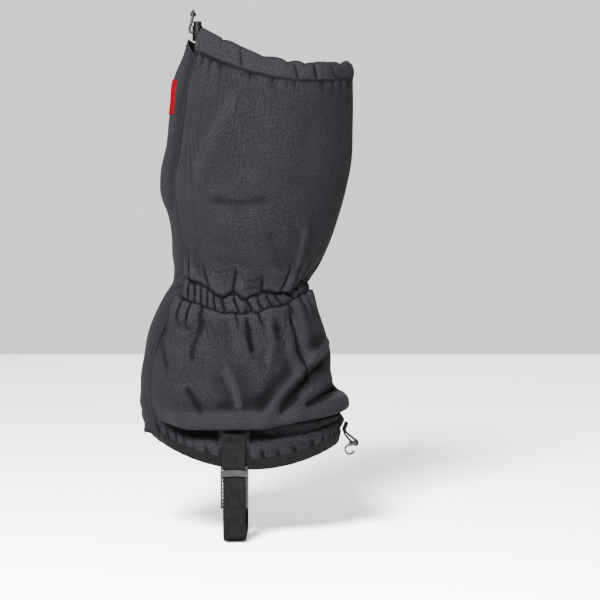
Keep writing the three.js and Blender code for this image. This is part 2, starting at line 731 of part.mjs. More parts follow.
// The frame in the buckle's own axes: X along the bars, -Y outwards, Z up the strap.
function buckleFrame() {
  const rail = (side) => {
    const edges = [side * WEB_ROOM, side * RAIL_OUT].sort((a, b) => a - b);
    return union(
      box([edges[0], -1.7, FOOT_BAR.h - 1.4], [edges[1], 1.2, ANCHOR_BAR.h + 1.6]),
      box([edges[0], -HOOD.depth - HOOD.thickness, HOOD.low], [edges[1], 0, HOOD.high - 0.8]),
    );
  };
  const arch = new THREE.Shape();
  arch.moveTo(-RAIL_OUT, HOOD.low);
  arch.lineTo(-RAIL_OUT, HOOD.high - 2.4);
  arch.quadraticCurveTo(-RAIL_OUT + 0.6, HOOD.high, -RAIL_OUT + 4, HOOD.high + 0.3);
  arch.quadraticCurveTo(0, HOOD.high + 1.2, RAIL_OUT - 4, HOOD.high + 0.3);
  arch.quadraticCurveTo(RAIL_OUT - 0.6, HOOD.high, RAIL_OUT, HOOD.high - 2.4);
  arch.lineTo(RAIL_OUT, HOOD.low);
  arch.quadraticCurveTo(0, HOOD.low + 1.8, -RAIL_OUT, HOOD.low);
  const hood = new THREE.ExtrudeGeometry(arch, { depth: HOOD.thickness, bevelEnabled: false, curveSegments: 6 });
  hood.rotateX(Math.PI / 2).translate(0, -HOOD.depth, 0);
  const end = WEB_ROOM + 0.5;
  const bars = [ANCHOR_BAR, WRAP_BAR, FOOT_BAR].map(({ d, h, radius = BUCKLE_BAR_RADIUS }) =>
    solid(bar("x", radius, -end, end, { y: -d, z: h })),
  );
  return geometryOf([rail(1), rail(-1), ...bars].reduce((a, b) => a.add(b), solid(hood)));
}
const frame = add("buckle_frame", buckleFrame(), STEEL);
frame.position.set(0, BUCKLE.x, BUCKLE.y);
frame.rotation.x = STRAP_LEAN;

// ---- Lace hook on its tab at the front of the hem ----
function tabOnLeg(v, distance) {
  const point = standOff(0, v, distance);
  return new THREE.Vector2(point.x, point.z);
}
const hemFront = frontCurve.getPoint(PANEL_EDGE / RIM);
const HOOK_BAR = new THREE.Vector2(hemFront.x + 14, hemFront.y - 12); // x and z
const HOOK_BAR_RADIUS = 1.1;
const HOOK_REST = 165; // degrees, pointing back under its tab
const tabBend = HOOK_BAR_RADIUS + GAP + WEBBING / 2;
const hookTurn = [];
for (let i = 0; i <= 8; i++) {
  const angle = THREE.MathUtils.degToRad(215 + (i * 200) / 8);
  hookTurn.push(
    new THREE.Vector2(HOOK_BAR.x + tabBend * Math.cos(angle), HOOK_BAR.y + tabBend * Math.sin(angle)),
  );
}
const nearBar = (x, z) => new THREE.Vector2(HOOK_BAR.x + x, HOOK_BAR.y + z);
const tabLine = [
  tabOnLeg(PANEL_EDGE + 0.85, ON_PANEL + 0.1),
  tabOnLeg(PANEL_EDGE + 0.1, ON_BINDING),
  nearBar(-9.6, 7.5),
  nearBar(-5.8, 2.6),
  ...hookTurn,
  nearBar(-4, 5.4),
  nearBar(-8, 9),
  tabOnLeg(PANEL_EDGE + 0.1, ON_BINDING + SECOND_PLY),
  tabOnLeg(PANEL_EDGE + 0.85, ON_PANEL + 0.1 + SECOND_PLY),
];
add("lace_hook_tab", strap(tabLine, WEBBING, HOOK_TAB_WIDTH, "xz"), WEB);

function laceHook() {
  const arm = HOOK_TAB_WIDTH / 2 + 0.4;
  const outer = arm + 1.5;
  const reach = 5.5;
  const tongue = new THREE.Path()
    .moveTo(reach - 1, 0)
    .lineTo(reach + 2, 0.6)
    .quadraticCurveTo(reach + 6.6, 2.2, reach + 5.2, 6.4)
    .quadraticCurveTo(reach + 3.4, 10.6, reach - 2.5, 7.6);
  return geometryOf(
    [
      bar("y", HOOK_BAR_RADIUS, -outer, outer),
      box([0, arm, -HOOK_BAR_RADIUS], [reach, outer, HOOK_BAR_RADIUS]),
      box([0, -outer, -HOOK_BAR_RADIUS], [reach, -arm, HOOK_BAR_RADIUS]),
      bar("y", HOOK_BAR_RADIUS, -outer, outer, { x: reach }),
      strap(pathPoints(tongue, 5), HOOK_THICKNESS, HOOK_TONGUE_WIDTH, "xz"),
    ]
      .map(solid)
      .reduce((a, b) => a.add(b)),
  );
}
const hook = add("lace_hook", laceHook(), STEEL);
hook.position.set(HOOK_BAR.x, 0, HOOK_BAR.y);
hook.rotation.y = THREE.MathUtils.degToRad(HOOK_REST);

export default part;
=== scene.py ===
"""A hiking gaiter for a right leg: fabric leg, storm flap over a rear zip, drawcord, lace hook and a
buckled strap under the boot."""

import json
import math

import bmesh
import bpy
import numpy as np
from mathutils import Matrix, Vector

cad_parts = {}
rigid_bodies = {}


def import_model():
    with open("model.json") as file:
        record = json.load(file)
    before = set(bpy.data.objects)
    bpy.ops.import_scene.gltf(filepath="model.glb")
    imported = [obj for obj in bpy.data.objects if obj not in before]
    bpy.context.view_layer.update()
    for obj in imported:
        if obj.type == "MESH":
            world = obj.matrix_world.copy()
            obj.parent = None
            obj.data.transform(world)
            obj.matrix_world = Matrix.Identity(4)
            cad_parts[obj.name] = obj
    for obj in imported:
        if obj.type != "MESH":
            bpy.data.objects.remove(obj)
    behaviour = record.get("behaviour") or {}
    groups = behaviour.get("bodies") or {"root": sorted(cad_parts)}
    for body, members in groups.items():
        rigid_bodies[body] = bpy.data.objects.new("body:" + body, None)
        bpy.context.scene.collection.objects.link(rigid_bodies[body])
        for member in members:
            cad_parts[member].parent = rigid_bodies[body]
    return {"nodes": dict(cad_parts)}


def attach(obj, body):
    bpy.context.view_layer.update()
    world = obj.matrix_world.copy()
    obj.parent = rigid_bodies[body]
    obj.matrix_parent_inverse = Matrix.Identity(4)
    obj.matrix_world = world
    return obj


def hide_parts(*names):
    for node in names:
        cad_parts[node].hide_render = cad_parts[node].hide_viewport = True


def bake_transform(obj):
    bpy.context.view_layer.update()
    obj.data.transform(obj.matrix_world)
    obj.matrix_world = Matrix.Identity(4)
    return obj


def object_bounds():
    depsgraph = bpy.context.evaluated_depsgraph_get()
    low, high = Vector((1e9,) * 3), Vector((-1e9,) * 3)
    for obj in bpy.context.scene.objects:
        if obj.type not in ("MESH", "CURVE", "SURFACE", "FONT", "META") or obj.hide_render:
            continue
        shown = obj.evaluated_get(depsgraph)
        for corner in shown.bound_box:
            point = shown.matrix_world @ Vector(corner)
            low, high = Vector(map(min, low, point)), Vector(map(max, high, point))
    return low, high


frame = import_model()
CAD_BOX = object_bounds()

MM = 0.001


def deselect_all():
    for obj in bpy.context.view_layer.objects:
        obj.select_set(False)


deselect_all()


# ---------------------------------------------------------------------------------------------------
# Camera, lights and floor
# ---------------------------------------------------------------------------------------------------
VIEW_WIDTH = 0.552  # seen at the middle of the leg
LENS = 110.0
SENSOR = 36.0
RISE = math.radians(1.5)
AIM = Vector((0.0589, 0.0, 0.2153))


def make_camera():
    data = bpy.data.cameras.new("camera")
    data.lens = LENS
    data.sensor_width = SENSOR
    camera = bpy.data.objects.new("camera", data)
    bpy.context.scene.collection.objects.link(camera)
    distance = VIEW_WIDTH * LENS / SENSOR
    camera.location = AIM + distance * Vector((0.0, -math.cos(RISE), math.sin(RISE)))
    camera.rotation_euler = (math.pi / 2 - RISE, 0.0, 0.0)
    bpy.context.scene.camera = camera


def soft_light(name, place, aim, size, power):
    data = bpy.data.lights.new(name, "AREA")
    data.shape = "DISK"
    data.size = size
    data.energy = power
    light = bpy.data.objects.new(name, data)
    bpy.context.scene.collection.objects.link(light)
    light.location = place
    light.rotation_euler = (Vector(aim) - Vector(place)).to_track_quat("-Z", "Y").to_euler()


def make_studio():
    world = bpy.data.worlds.new("studio")
    world.use_nodes = True
    background = world.node_tree.nodes["Background"]
    background.inputs["Color"].default_value = (1.0, 1.0, 1.0, 1.0)
    background.inputs["Strength"].default_value = 1.2
    bpy.context.scene.world = world
    middle = (0.01, 0.0, 0.25)
    soft_light("key", (-0.33, -1.45, 1.15), middle, 0.5, 400.0)
    soft_light("back", (0.3, 3.2, 2.2), middle, 1.2, 90.0)
    soft_light("fill", (0.9, -1.3, 0.45), middle, 0.9, 6.0)


def make_floor():
    bpy.ops.mesh.primitive_plane_add(size=6.0, location=(0.0, 0.0, CAD_BOX[0][2] - 0.0005))
    floor = bpy.context.object
    floor.name = "floor"
    material = bpy.data.materials.new("floor")
    material.use_nodes = True
    shader = material.node_tree.nodes["Principled BSDF"]
    shader.inputs["Base Color"].default_value = (0.96, 0.96, 0.96, 1.0)
    shader.inputs["Roughness"].default_value = 0.9
    floor.data.materials.append(material)
    deselect_all()


make_camera()
make_studio()
make_floor()


# ---------------------------------------------------------------------------------------------------
# Shader maths
# ---------------------------------------------------------------------------------------------------
class Value:
    """A socket that carries a number, with the operators that build its Math nodes."""

    def __init__(self, shop, socket):
        self.shop = shop
        self.socket = socket

    def maths(self, operation, *others):
        return self.shop.maths(operation, self, *others)

    def __add__(self, other):
        return self.maths("ADD", other)

    def __sub__(self, other):
        return self.maths("SUBTRACT", other)

    def __mul__(self, other):
        return self.maths("MULTIPLY", other)

    def __truediv__(self, other):
        return self.maths("DIVIDE", other)


class Finish:
    """A material and the nodes that make its look."""

    def __init__(self, name):
        self.material = bpy.data.materials.new(name)
        self.material.use_nodes = True
        self.tree = self.material.node_tree
        self.shader = self.tree.nodes["Principled BSDF"]

    def node(self, kind, settings=None, **sockets):
        node = self.tree.nodes.new(kind)
        for name, value in (settings or {}).items():
            setattr(node, name, value)
        for name, value in sockets.items():
            key = name.replace("_", " ") if name.replace("_", " ") in node.inputs else name
            self.put(node.inputs[key], value)
        return node

    def put(self, socket, value):
        if isinstance(value, Value):
            value = value.socket
        if isinstance(value, bpy.types.NodeSocket):
            self.tree.links.new(value, socket)
        elif isinstance(value, (tuple, list)) and len(value) == 3 and socket.type == "RGBA":
            socket.default_value = (*value, 1.0)
        else:
            socket.default_value = value

    def maths(self, operation, *values):
        node = self.tree.nodes.new("ShaderNodeMath")
        node.operation = operation
        for socket, value in zip(node.inputs, values):
            self.put(socket, value)
        return Value(self, node.outputs[0])

    def place(self, source="Object", scale=(1.0, 1.0, 1.0)):
        coordinates = self.node("ShaderNodeTexCoord").outputs[source]
        mapping = self.node("ShaderNodeMapping", Vector=coordinates, Scale=scale)
        return mapping.outputs["Vector"]

    def axis(self, vector, index):
        return Value(self, self.node("ShaderNodeSeparateXYZ", Vector=vector).outputs[index])

    def attribute(self, name):
        return Value(self, self.node("ShaderNodeAttribute", {"attribute_name": name}).outputs["Fac"])

    def noise(self, vector, scale, detail=2.0, roughness=0.5):
        settings = {"Scale": scale, "Detail": detail, "Roughness": roughness}
        return Value(self, self.node("ShaderNodeTexNoise", Vector=vector, **settings).outputs[0])

    def ramp(self, value, low, high, low_out=0.0, high_out=1.0):
        node = self.node("ShaderNodeMapRange", {"interpolation_type": "SMOOTHSTEP"}, Value=value)
        limits = {"From Min": low, "From Max": high, "To Min": low_out, "To Max": high_out}
        for name, number in limits.items():
            node.inputs[name].default_value = number
        return Value(self, node.outputs[0])

    def mix(self, share, first, second):
        node = self.node("ShaderNodeMix", {"data_type": "RGBA"})
        colours = [socket for socket in node.inputs if socket.type == "RGBA"]
        self.put(node.inputs["Factor"], share)
        self.put(colours[0], first)
        self.put(colours[1], second)
        return [socket for socket in node.outputs if socket.type == "RGBA"][0]

    def bump(self, height, distance, strength=1.0, normal=None):
        node = self.node("ShaderNodeBump", Height=height, Distance=distance, Strength=strength)
        if normal is not None:
            self.put(node.inputs["Normal"], normal)
        return node.outputs[0]

    def finish(self, **sockets):
        for name, value in sockets.items():
            self.put(self.shader.inputs[name.replace("_", " ")], value)
        return self.material


def woven_fabric(name, dark, light, pitch=0.00052, sheen=0.006):
    """Coated nylon: fine basket weave, uneven yarns, soft scuffs, painted shade in the fold valleys and
    painted highlight on the fold ridges.
    """
    shop = Finish(name)
    cloth = shop.place("UV")
    warp = shop.axis(cloth, 0)
    weft = shop.axis(cloth, 1)
    yarn_a = (warp * (math.tau / pitch)).maths("SINE")
    yarn_b = (weft * (math.tau / pitch)).maths("SINE")
    weave = yarn_a * yarn_b
    uneven = shop.noise(cloth, 760.0, 2.0, 0.7)
    slub = shop.noise(shop.place("UV", (260.0, 1500.0, 1.0)), 1.0, 2.0, 0.6)
    fleck = shop.ramp(weave * 0.15 + uneven * 1.2 + slub * 0.25, 0.6, 0.86)
    patch = shop.ramp(shop.noise(cloth, 34.0, 4.0, 0.6), 0.32, 0.72)
    # painted shade in the fold valleys and painted highlight on the fold ridges, read from the crease
    # attribute
    wear_and_painted_fold_shade = shop.ramp(shop.attribute("crease"), -0.8, 0.8, 0.12, 1.6)
    colour = shop.mix(((fleck * 0.8 + 0.12) * wear_and_painted_fold_shade).maths("MINIMUM", 1.0), dark, light)
    tired = shop.mix(patch * 0.2, colour, tuple(c * 0.5 for c in light))
    height = weave * 0.5 + uneven * 0.4
    soft = shop.noise(cloth, 120.0, 3.0, 0.55)
    dents = shop.bump(soft, 0.0006, 0.35)
    return shop.finish(
        Base_Color=tired,
        Roughness=shop.ramp(patch, 0.0, 1.0, 0.62, 0.78),
        Normal=shop.bump(height, 0.00016, 0.7, dents),
        Sheen_Weight=sheen,
        Sheen_Roughness=0.45,
        Specular_IOR_Level=0.01,
    )


def zigzag_label():
    """A small woven label with one plain zigzag line."""
    shop = Finish("red_weave")
    cloth = shop.place("UV")
    across, along = shop.axis(cloth, 0), shop.axis(cloth, 1)
    swing = (along / 0.005).maths("PINGPONG", 1.0) * 0.0036 - 0.0018
    line = shop.ramp((across - swing).maths("ABSOLUTE"), 0.0003, 0.0008, 1.0, 0.0)
    ribs = (along * (math.tau / 0.0006)).maths("SINE") * 0.5 + 0.5
    dust = shop.noise(cloth, 1500.0, 2.0, 0.6)
    red = shop.mix(ribs * 0.4 + dust * 0.5, (0.018, 0.0002, 0.0006), (0.058, 0.0007, 0.0024))
    return shop.finish(
        Base_Color=shop.mix(line * 0.75, red, (0.005, 0.0006, 0.0008)),
        Roughness=0.75,
        Normal=shop.bump(ribs * 0.6 + dust * 0.5, 0.00015, 0.7),
        Specular_IOR_Level=0.01,
    )


def ribbed_band(name, dark, light, rib=0.0011, along=1, sheen=0.01):
    """Narrow woven goods: ribs across the band, with a painted highlight and dust on each rib top and painted
    shade in the grooves between.
    """
    shop = Finish(name)
    cloth = shop.place("UV")
    ribs = (shop.axis(cloth, along) * (math.tau / rib)).maths("SINE") * 0.5 + 0.5
    cross = (shop.axis(cloth, 1 - along) * (math.tau / (rib * 0.8))).maths("SINE") * 0.5 + 0.5
    dust = shop.noise(cloth, 700.0, 3.0, 0.6)
    # painted highlight on the rib tops and painted shade in the grooves, mixed with dust noise
    high = shop.ramp(ribs * 0.6 + cross * 0.25 + dust * 0.5, 0.35, 1.2)
    wear_and_painted_fold_shade = shop.ramp(shop.noise(cloth, 60.0, 3.0, 0.6), 0.45, 0.75)
    return shop.finish(
        Base_Color=shop.mix(high * (wear_and_painted_fold_shade * 0.5 + 0.6), dark, light),
        Roughness=0.82,
        Normal=shop.bump(ribs * 0.8 + cross * 0.4 + dust * 0.3, 0.00022, 0.8),
        Sheen_Weight=sheen,
        Sheen_Roughness=0.5,
        Specular_IOR_Level=0.04,
    )


def plated_steel():
    shop = Finish("plated_steel")
    place = shop.place("Object")
    brushed = shop.noise(shop.place("Object", (1400.0, 1400.0, 160.0)), 1.0, 3.0, 0.6)
    scuffs = shop.ramp(shop.noise(place, 420.0, 5.0, 0.7), 0.5, 0.72)
    clouds = shop.noise(place, 90.0, 3.0, 0.5)
    tint = shop.mix(clouds, (0.010, 0.0099, 0.0097), (0.028, 0.0277, 0.0274))
    return shop.finish(
        Base_Color=shop.mix(scuffs * 0.6, tint, (0.008, 0.0079, 0.0077)),
        Metallic=1.0,
        Roughness=brushed * 0.2 + scuffs * 0.2 + 0.2,
        Normal=shop.bump(brushed + scuffs * 0.6, 0.00004, 0.5),
    )


def moulded_plastic(name="moulded_plastic", dark=(0.0006, 0.0006, 0.0006), light=(0.0035, 0.0035, 0.0035)):
    shop = Finish(name)
    place = shop.place("Object")
    grain = shop.noise(place, 2600.0, 2.0, 0.5)
    rub = shop.ramp(shop.noise(place, 300.0, 4.0, 0.6), 0.5, 0.75)
    return shop.finish(
        Base_Color=shop.mix(rub * 0.5, dark, light),
        Roughness=rub * 0.2 + 0.5,
        Normal=shop.bump(grain, 0.00003, 0.5),
        Specular_IOR_Level=0.03,
    )


def thread(name, colour):
    shop = Finish(name)
    twist = shop.noise(shop.place("Object"), 3500.0, 2.0, 0.6)
    pale = tuple(min(c * 2.2, 1.0) for c in colour)
    return shop.finish(
        Base_Color=shop.mix(twist, colour, pale),
        Roughness=0.6,
        Normal=shop.bump(twist, 0.00005, 0.6),
        Specular_IOR_Level=0.04,
    )


def flecked_cord():
    """A round braid in two colours, patterned round and along the cord by its own UV map."""
    shop = Finish("flecked_cord")
    cloth = shop.place("UV")
    along = shop.axis(cloth, 1)
    round_ = shop.axis(cloth, 0)
    first = (along * (math.tau / 0.0030) + round_ * (math.tau * 2)).maths("SINE")
    second = (along * (math.tau / 0.0030) - round_ * (math.tau * 2)).maths("SINE")
    strands = (along * (math.tau / 0.0012) + round_ * (math.tau * 4)).maths("SINE")
    weave = first * second
    fleck = shop.ramp(weave, 0.30, 0.55)
    fuzz = shop.noise(cloth, 1800.0, 2.0, 0.6)
    dark = shop.mix(fuzz, (0.0012, 0.0012, 0.0012), (0.006, 0.006, 0.0058))
    return shop.finish(
        Base_Color=shop.mix(fleck, dark, (0.03, 0.0295, 0.028)),
        Roughness=0.75,
        Normal=shop.bump(weave * 0.6 + strands * 0.3 + fuzz * 0.3, 0.00022, 0.8),
        Specular_IOR_Level=0.03,
    )


SHELL = woven_fabric("shell_cloth", (0.0003, 0.0003, 0.0004), (0.0068, 0.0070, 0.0080))
LINING = woven_fabric("lining_cloth", (0.004, 0.004, 0.0045), (0.016, 0.016, 0.018), pitch=0.0007)
ELASTIC = ribbed_band("elastic_band", (0.0012, 0.0012, 0.0012), (0.009, 0.0087, 0.0085), rib=0.0014, along=0)
BINDING = ribbed_band("hem_edging", (0.0002, 0.0002, 0.0002), (0.003, 0.0029, 0.0028), rib=0.0009, along=0)
TEETH = moulded_plastic("zip_teeth", (0.002, 0.002, 0.002), (0.008, 0.008, 0.008))
WEBBING = ribbed_band("webbing", (0.0002, 0.0002, 0.0002), (0.0048, 0.0046, 0.0044), rib=0.0017, along=1)
TAPE = ribbed_band("zip_tape", (0.001, 0.001, 0.001), (0.007, 0.007, 0.0074), rib=0.0007, along=1)
HOOKS = ribbed_band("hook_tape", (0.001, 0.001, 0.001), (0.009, 0.009, 0.009), rib=0.0010, along=0)
LOOPS = ribbed_band("loop_tape", (0.0015, 0.0015, 0.0015), (0.011, 0.011, 0.011), rib=0.0006, along=0)
LABEL = zigzag_label()
STEEL = plated_steel()
PLASTIC = moulded_plastic()
BLACK_THREAD = thread("black_thread", (0.0008, 0.0008, 0.0009))
CORD = flecked_cord()


# ---------------------------------------------------------------------------------------------------
# The leg surface, in millimetres
# ---------------------------------------------------------------------------------------------------
ZIP_TOP = (-47.0, 415.0)
ZIP_LEAN = 0.14


def zip_x(z):
    return ZIP_TOP[0] - ZIP_LEAN * (ZIP_TOP[1] - z)


# Rear x and z, front x and z, side z, half width.
SECTIONS = np.array(
    [
        (-77, 93, 93.5, 85, 65, 50),
        (-79.5, 102, 96, 96, 75, 51),
        (-82, 113, 100, 105, 92, 54),
        (-83, 124, 101.5, 114, 108, 62),
        (-83, 145, 88, 142, 138, 61),
        (-78.5, 172, 86.5, 170, 166, 57),
        (-69, 203, 76, 205, 190, 49.5),
        (-57, 225, 66, 225, 205, 44),
        (-51.5, 240, 62.5, 236, 220, 43.5),
        (-53, 265, 82, 260, 250, 50),
        (-58, 295, 95, 295, 290, 58),
        (zip_x(322), 322, 102, 322, 320, 62.5),
        (zip_x(352), 352, 106.3, 345, 345, 64),
        (zip_x(384), 384, 107, 372, 370, 64),
        (zip_x(415), 415, 107.5, 395, 392, 63),
        (-37.5, 443, 107, 417, 414.5, 61),
        (-31, 464, 104, 432, 431, 56),
    ]
)
EDGE, CHANNEL_FOOT, CHANNEL_HEAD, CASING, RIM = 1.0, 7.0, 8.0, 15.0, 16.0
PANEL_FOOT = 0.8  # the cloth's edge, inside the binding


def along_sections(v):
    """The six section values at v, on a uniform Catmull-Rom spline."""
    v = np.clip(np.asarray(v, float), 0.0, RIM)
    i = np.minimum(v.astype(int), len(SECTIONS) - 2)
    t = (v - i)[..., None]
    last = len(SECTIONS) - 1
    p0, p1 = SECTIONS[np.maximum(i - 1, 0)], SECTIONS[i]
    p2, p3 = SECTIONS[i + 1], SECTIONS[np.minimum(i + 2, last)]
    m0, m1 = (p2 - p0) / 2, (p3 - p1) / 2
    t2, t3 = t * t, t * t * t
    return (2 * p1 - 2 * p2 + m0 + m1) * t3 + (-3 * p1 + 3 * p2 - 2 * m0 - m1) * t2 + m0 * t + p1


def leg_point(angle, v):
    rear_x, rear_z, front_x, front_z, side_z, half = np.moveaxis(along_sections(v), -1, 0)
    back = (1 - np.cos(angle)) / 2
    sag = side_z - (rear_z + front_z) / 2
    sine = np.sin(angle)
    x = front_x + (rear_x - front_x) * back
    z = front_z + (rear_z - front_z) * back + sag * sine**2
    return np.stack([x, half * sine, z], axis=-1)


def leg_normal(angle, v):
    step = 0.01
    low, high = np.maximum(v - step, 0.0), np.minimum(v + step, RIM)
    across = leg_point(angle + step, v) - leg_point(angle - step, v)
    up = leg_point(angle, high) - leg_point(angle, low)
    normal = np.cross(across, up)
    return normal / np.linalg.norm(normal, axis=-1, keepdims=True)


def rear_angle(y, v):
    return math.pi - np.arcsin(y / along_sections(v)[..., 5])


def smooth(value, low, high):
    t = np.clip((value - low) / (high - low), 0.0, 1.0)
    return t * t * (3 - 2 * t)


def lengths_along(points):
    """The length of a line of points up to each of them."""
    return np.concatenate([[0], np.cumsum(np.linalg.norm(np.diff(points, axis=0), axis=1))])


def at_lengths(at, run, values):
    """Three-part values at given lengths along a line."""
    return np.stack([np.interp(at, run, values[:, i]) for i in range(3)], axis=-1)


# ---------------------------------------------------------------------------------------------------
# Making and finishing pieces
# ---------------------------------------------------------------------------------------------------
def new_object(name, mesh, material):
    obj = bpy.data.objects.new(name, mesh)
    bpy.context.scene.collection.objects.link(obj)
    if material is not None:
        mesh.materials.append(material)
    return obj


def grid_mesh(name, points, uv):
    """A quad mesh over an array of points in millimetres, with a UV map in metres."""
    rows, columns = points.shape[:2]
    mesh = bpy.data.meshes.new(name)
    index = np.arange(rows * columns).reshape(rows, columns)
    quads = np.stack([index[:-1, :-1], index[:-1, 1:], index[1:, 1:], index[1:, :-1]], axis=-1).reshape(-1, 4)
    mesh.from_pydata((points.reshape(-1, 3) * MM).tolist(), [], quads.tolist())
    layer = mesh.uv_layers.new(name="cloth")
    flat = uv.reshape(-1, 2)
    layer.data.foreach_set("uv", flat[quads.reshape(-1)].reshape(-1).astype(np.float32))
    mesh.polygons.foreach_set("use_smooth", [True] * len(mesh.polygons))
    return mesh


def surface_uv(points):
    """Lengths along the rows and up the columns, in metres."""
    across = np.cumsum(np.linalg.norm(np.diff(points, axis=1), axis=2), axis=1)
    up = np.cumsum(np.linalg.norm(np.diff(points, axis=0), axis=2), axis=0)
    u = np.concatenate([np.zeros((points.shape[0], 1)), across], axis=1)
    u = u - u[:, points.shape[1] // 2][:, None]
    v = np.concatenate([np.zeros((1, points.shape[1])), up], axis=0)
    return np.stack([u, v], axis=-1) * MM


def apply_modifiers(obj):
    deselect_all()
    bpy.context.view_layer.objects.active = obj
    obj.select_set(True)
    for modifier in list(obj.modifiers):
        bpy.ops.object.modifier_apply(modifier=modifier.name)
    deselect_all()


def thicken(obj, thickness):
    """Gives a sheet its thickness, half on each side."""
    modifier = obj.modifiers.new("wall", "SOLIDIFY")
    modifier.thickness = thickness * MM
    modifier.offset = 0.0
    modifier.use_even_offset = False
    apply_modifiers(obj)


def soften_edges(obj, width=0.45, segments=2, angle=50):
    modifier = obj.modifiers.new("soft_edges", "BEVEL")
    modifier.width = width * MM
    modifier.segments = segments
    modifier.limit_method = "ANGLE"
    modifier.angle_limit = math.radians(angle)
    apply_modifiers(obj)


def blurred(points, reach):
    """The points averaged over a square of neighbours, reach rows and columns each way."""
    for axis in (0, 1):
        pad = [(reach, reach) if i == axis else (0, 0) for i in range(3)]
        total = np.cumsum(np.pad(points, pad, mode="edge"), axis=axis)
        first = np.take(total, range(2 * reach, total.shape[axis]), axis=axis)
        before = np.take(total, range(0, total.shape[axis] - 2 * reach), axis=axis)
        points = (first - before) / (2 * reach)
    return points


def note_creases(mesh, points, facing):
    """Stores how far each point stands above its neighbourhood, for painted shade in the fold valleys and a
    painted highlight on the ridges.
    """
    normal = normals_of(points)
    height = np.zeros(points.shape[:2])
    for reach, weight in ((2, 1.3), (5, 0.45)):
        height += weight * np.sum((points - blurred(points, reach)) * normal, axis=-1)
    height *= np.sign(np.mean(normal @ np.array(facing)))
    layer = mesh.attributes.new("crease", "FLOAT", "POINT")
    layer.data.foreach_set("value", np.clip(height, -1, 1).reshape(-1).astype(np.float32))


def sheet_piece(name, points, material, thickness, facing=None):
    obj = new_object(name, grid_mesh(name, points, surface_uv(points)), material)
    if facing is not None:
        note_creases(obj.data, points, facing)
    thicken(obj, thickness)
    return obj


def settle(obj, body, slot, *nodes):
    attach(obj, body)
    if nodes:
        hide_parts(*nodes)


def normals_of(points):
    across = np.gradient(points, axis=1)
    up = np.gradient(points, axis=0)
    normal = np.cross(across, up)
    return normal / np.maximum(np.linalg.norm(normal, axis=-1, keepdims=True), 1e-9)


# ---------------------------------------------------------------------------------------------------
# The fabric leg
# ---------------------------------------------------------------------------------------------------
HALF_COLUMNS = 168
ROWS = 237
SHELL_WALL = 0.6


def crease(x, z, line, depth, width, sharp=0.5):
    """A fold along a line of (x, z) points: a valley for a negative depth, with shoulders, or a ridge."""
    points = np.array(line, float)
    best = np.full(x.shape, 1e9)
    side = np.zeros(x.shape)
    share = np.zeros(x.shape)
    lengths = np.linalg.norm(np.diff(points, axis=0), axis=1)
    total = lengths.sum()
    run = 0.0
    for a, b, length in zip(points[:-1], points[1:], lengths):
        along = (b - a) / length
        t = np.clip(((x - a[0]) * along[0] + (z - a[1]) * along[1]) / length, 0.0, 1.0)
        dx, dz = x - a[0] - along[0] * length * t, z - a[1] - along[1] * length * t
        distance = np.hypot(dx, dz)
        near = distance < best
        best = np.where(near, distance, best)
        side = np.where(near, np.sign(along[0] * dz - along[1] * dx), side)
        share = np.where(near, (run + length * t) / total, share)
        run += length
    fade = smooth(share, 0.0, 0.22) * (1 - smooth(share, 0.78, 1.0))
    fade = fade * 0.85 + 0.15 * (best < width)
    core = np.exp(-((best / width) ** 2) * (1 + sharp)) + sharp * np.exp(-((best / (0.35 * width)) ** 2))
    shoulder = np.exp(-(((best - 1.7 * width) / width) ** 2))
    return depth * fade * (core / (1 + sharp) - 0.35 * shoulder)


# Folds of the lower leg and the calf, on the outer side: line, depth and width in millimetres.
OUTER_FOLDS = [
    ([(9, 214), (13, 192), (17, 168)], -3.6, 7.0),
    ([(47, 214), (56, 188), (63, 160), (66, 146)], -5.5, 5.0),
    ([(90, 184), (66, 160), (44, 136), (24, 110)], 5.0, 7.0),
    ([(84, 166), (66, 146), (50, 128), (36, 112)], -3.0, 6.0),
    ([(98, 138), (78, 128), (58, 120)], -6.0, 6.0),
    ([(-44, 142), (-34, 126), (-25, 112)], -2.0, 10.0),
    ([(-22, 208), (-34, 184), (-40, 160)], -1.8, 9.0),
    ([(-62, 200), (-66, 176), (-60, 150)], -1.6, 9.0),
    ([(-8, 160), (2, 138), (6, 118)], 2.2, 8.0),
    ([(30, 204), (34, 178), (30, 156)], 2.0, 7.0),
    ([(-26, 309), (4, 303), (38, 309)], -1.5, 11.0),
    ([(6, 408), (-18, 366), (-38, 320)], 2.2, 15.0),
    ([(70, 398), (62, 350), (50, 306)], -1.2, 22.0),
    ([(30, 282), (38, 262), (42, 240)], -1.0, 12.0),
    ([(-30, 276), (-36, 256), (-34, 240)], -0.9, 12.0),
    ([(66, 286), (60, 262), (55, 244)], 1.8, 6.0),
]
INNER_FOLDS = [
    ([(0, 216), (6, 192), (0, 164)], -3.6, 6.0),
    ([(52, 212), (58, 184), (70, 158)], -4.5, 5.5),
    ([(88, 172), (60, 150), (30, 118)], 4.0, 8.0),
    ([(96, 140), (74, 130), (50, 118)], -4.5, 6.0),
    ([(-50, 170), (-36, 140), (-30, 114)], -3.6, 6.0),
    ([(-20, 206), (-32, 180), (-34, 150)], -2.6, 6.0),
    ([(20, 160), (14, 138), (16, 116)], 2.4, 8.0),
    ([(-10, 300), (30, 306), (62, 298)], -1.6, 6.0),
    ([(20, 404), (4, 360), (-6, 316)], 2.0, 15.0),
    ([(36, 288), (44, 262), (44, 240)], -2.0, 6.0),
    ([(-24, 280), (-30, 258), (-28, 240)], -1.8, 6.0),
]


def leg_grid():
    """Points of the whole leg from its outer rear edge, round the front, to its inner rear edge."""
    # Rows are spread evenly over the height instead of evenly over the sections.
    fine = np.linspace(PANEL_FOOT, RIM, 4000)
    side = leg_point(np.full(fine.shape, 1.5 * math.pi), fine)
    run = lengths_along(side)
    v = np.interp(np.linspace(0, run[-1], ROWS), run, fine)
    share = np.linspace(0.0, 1.0, 2 * HALF_COLUMNS + 1)
    start = rear_angle(-6.0, v)[:, None]
    stop = 4 * math.pi - start
    angle = start + (stop - start) * share[None, :]
    return angle, np.repeat(v[:, None], len(share), axis=1)


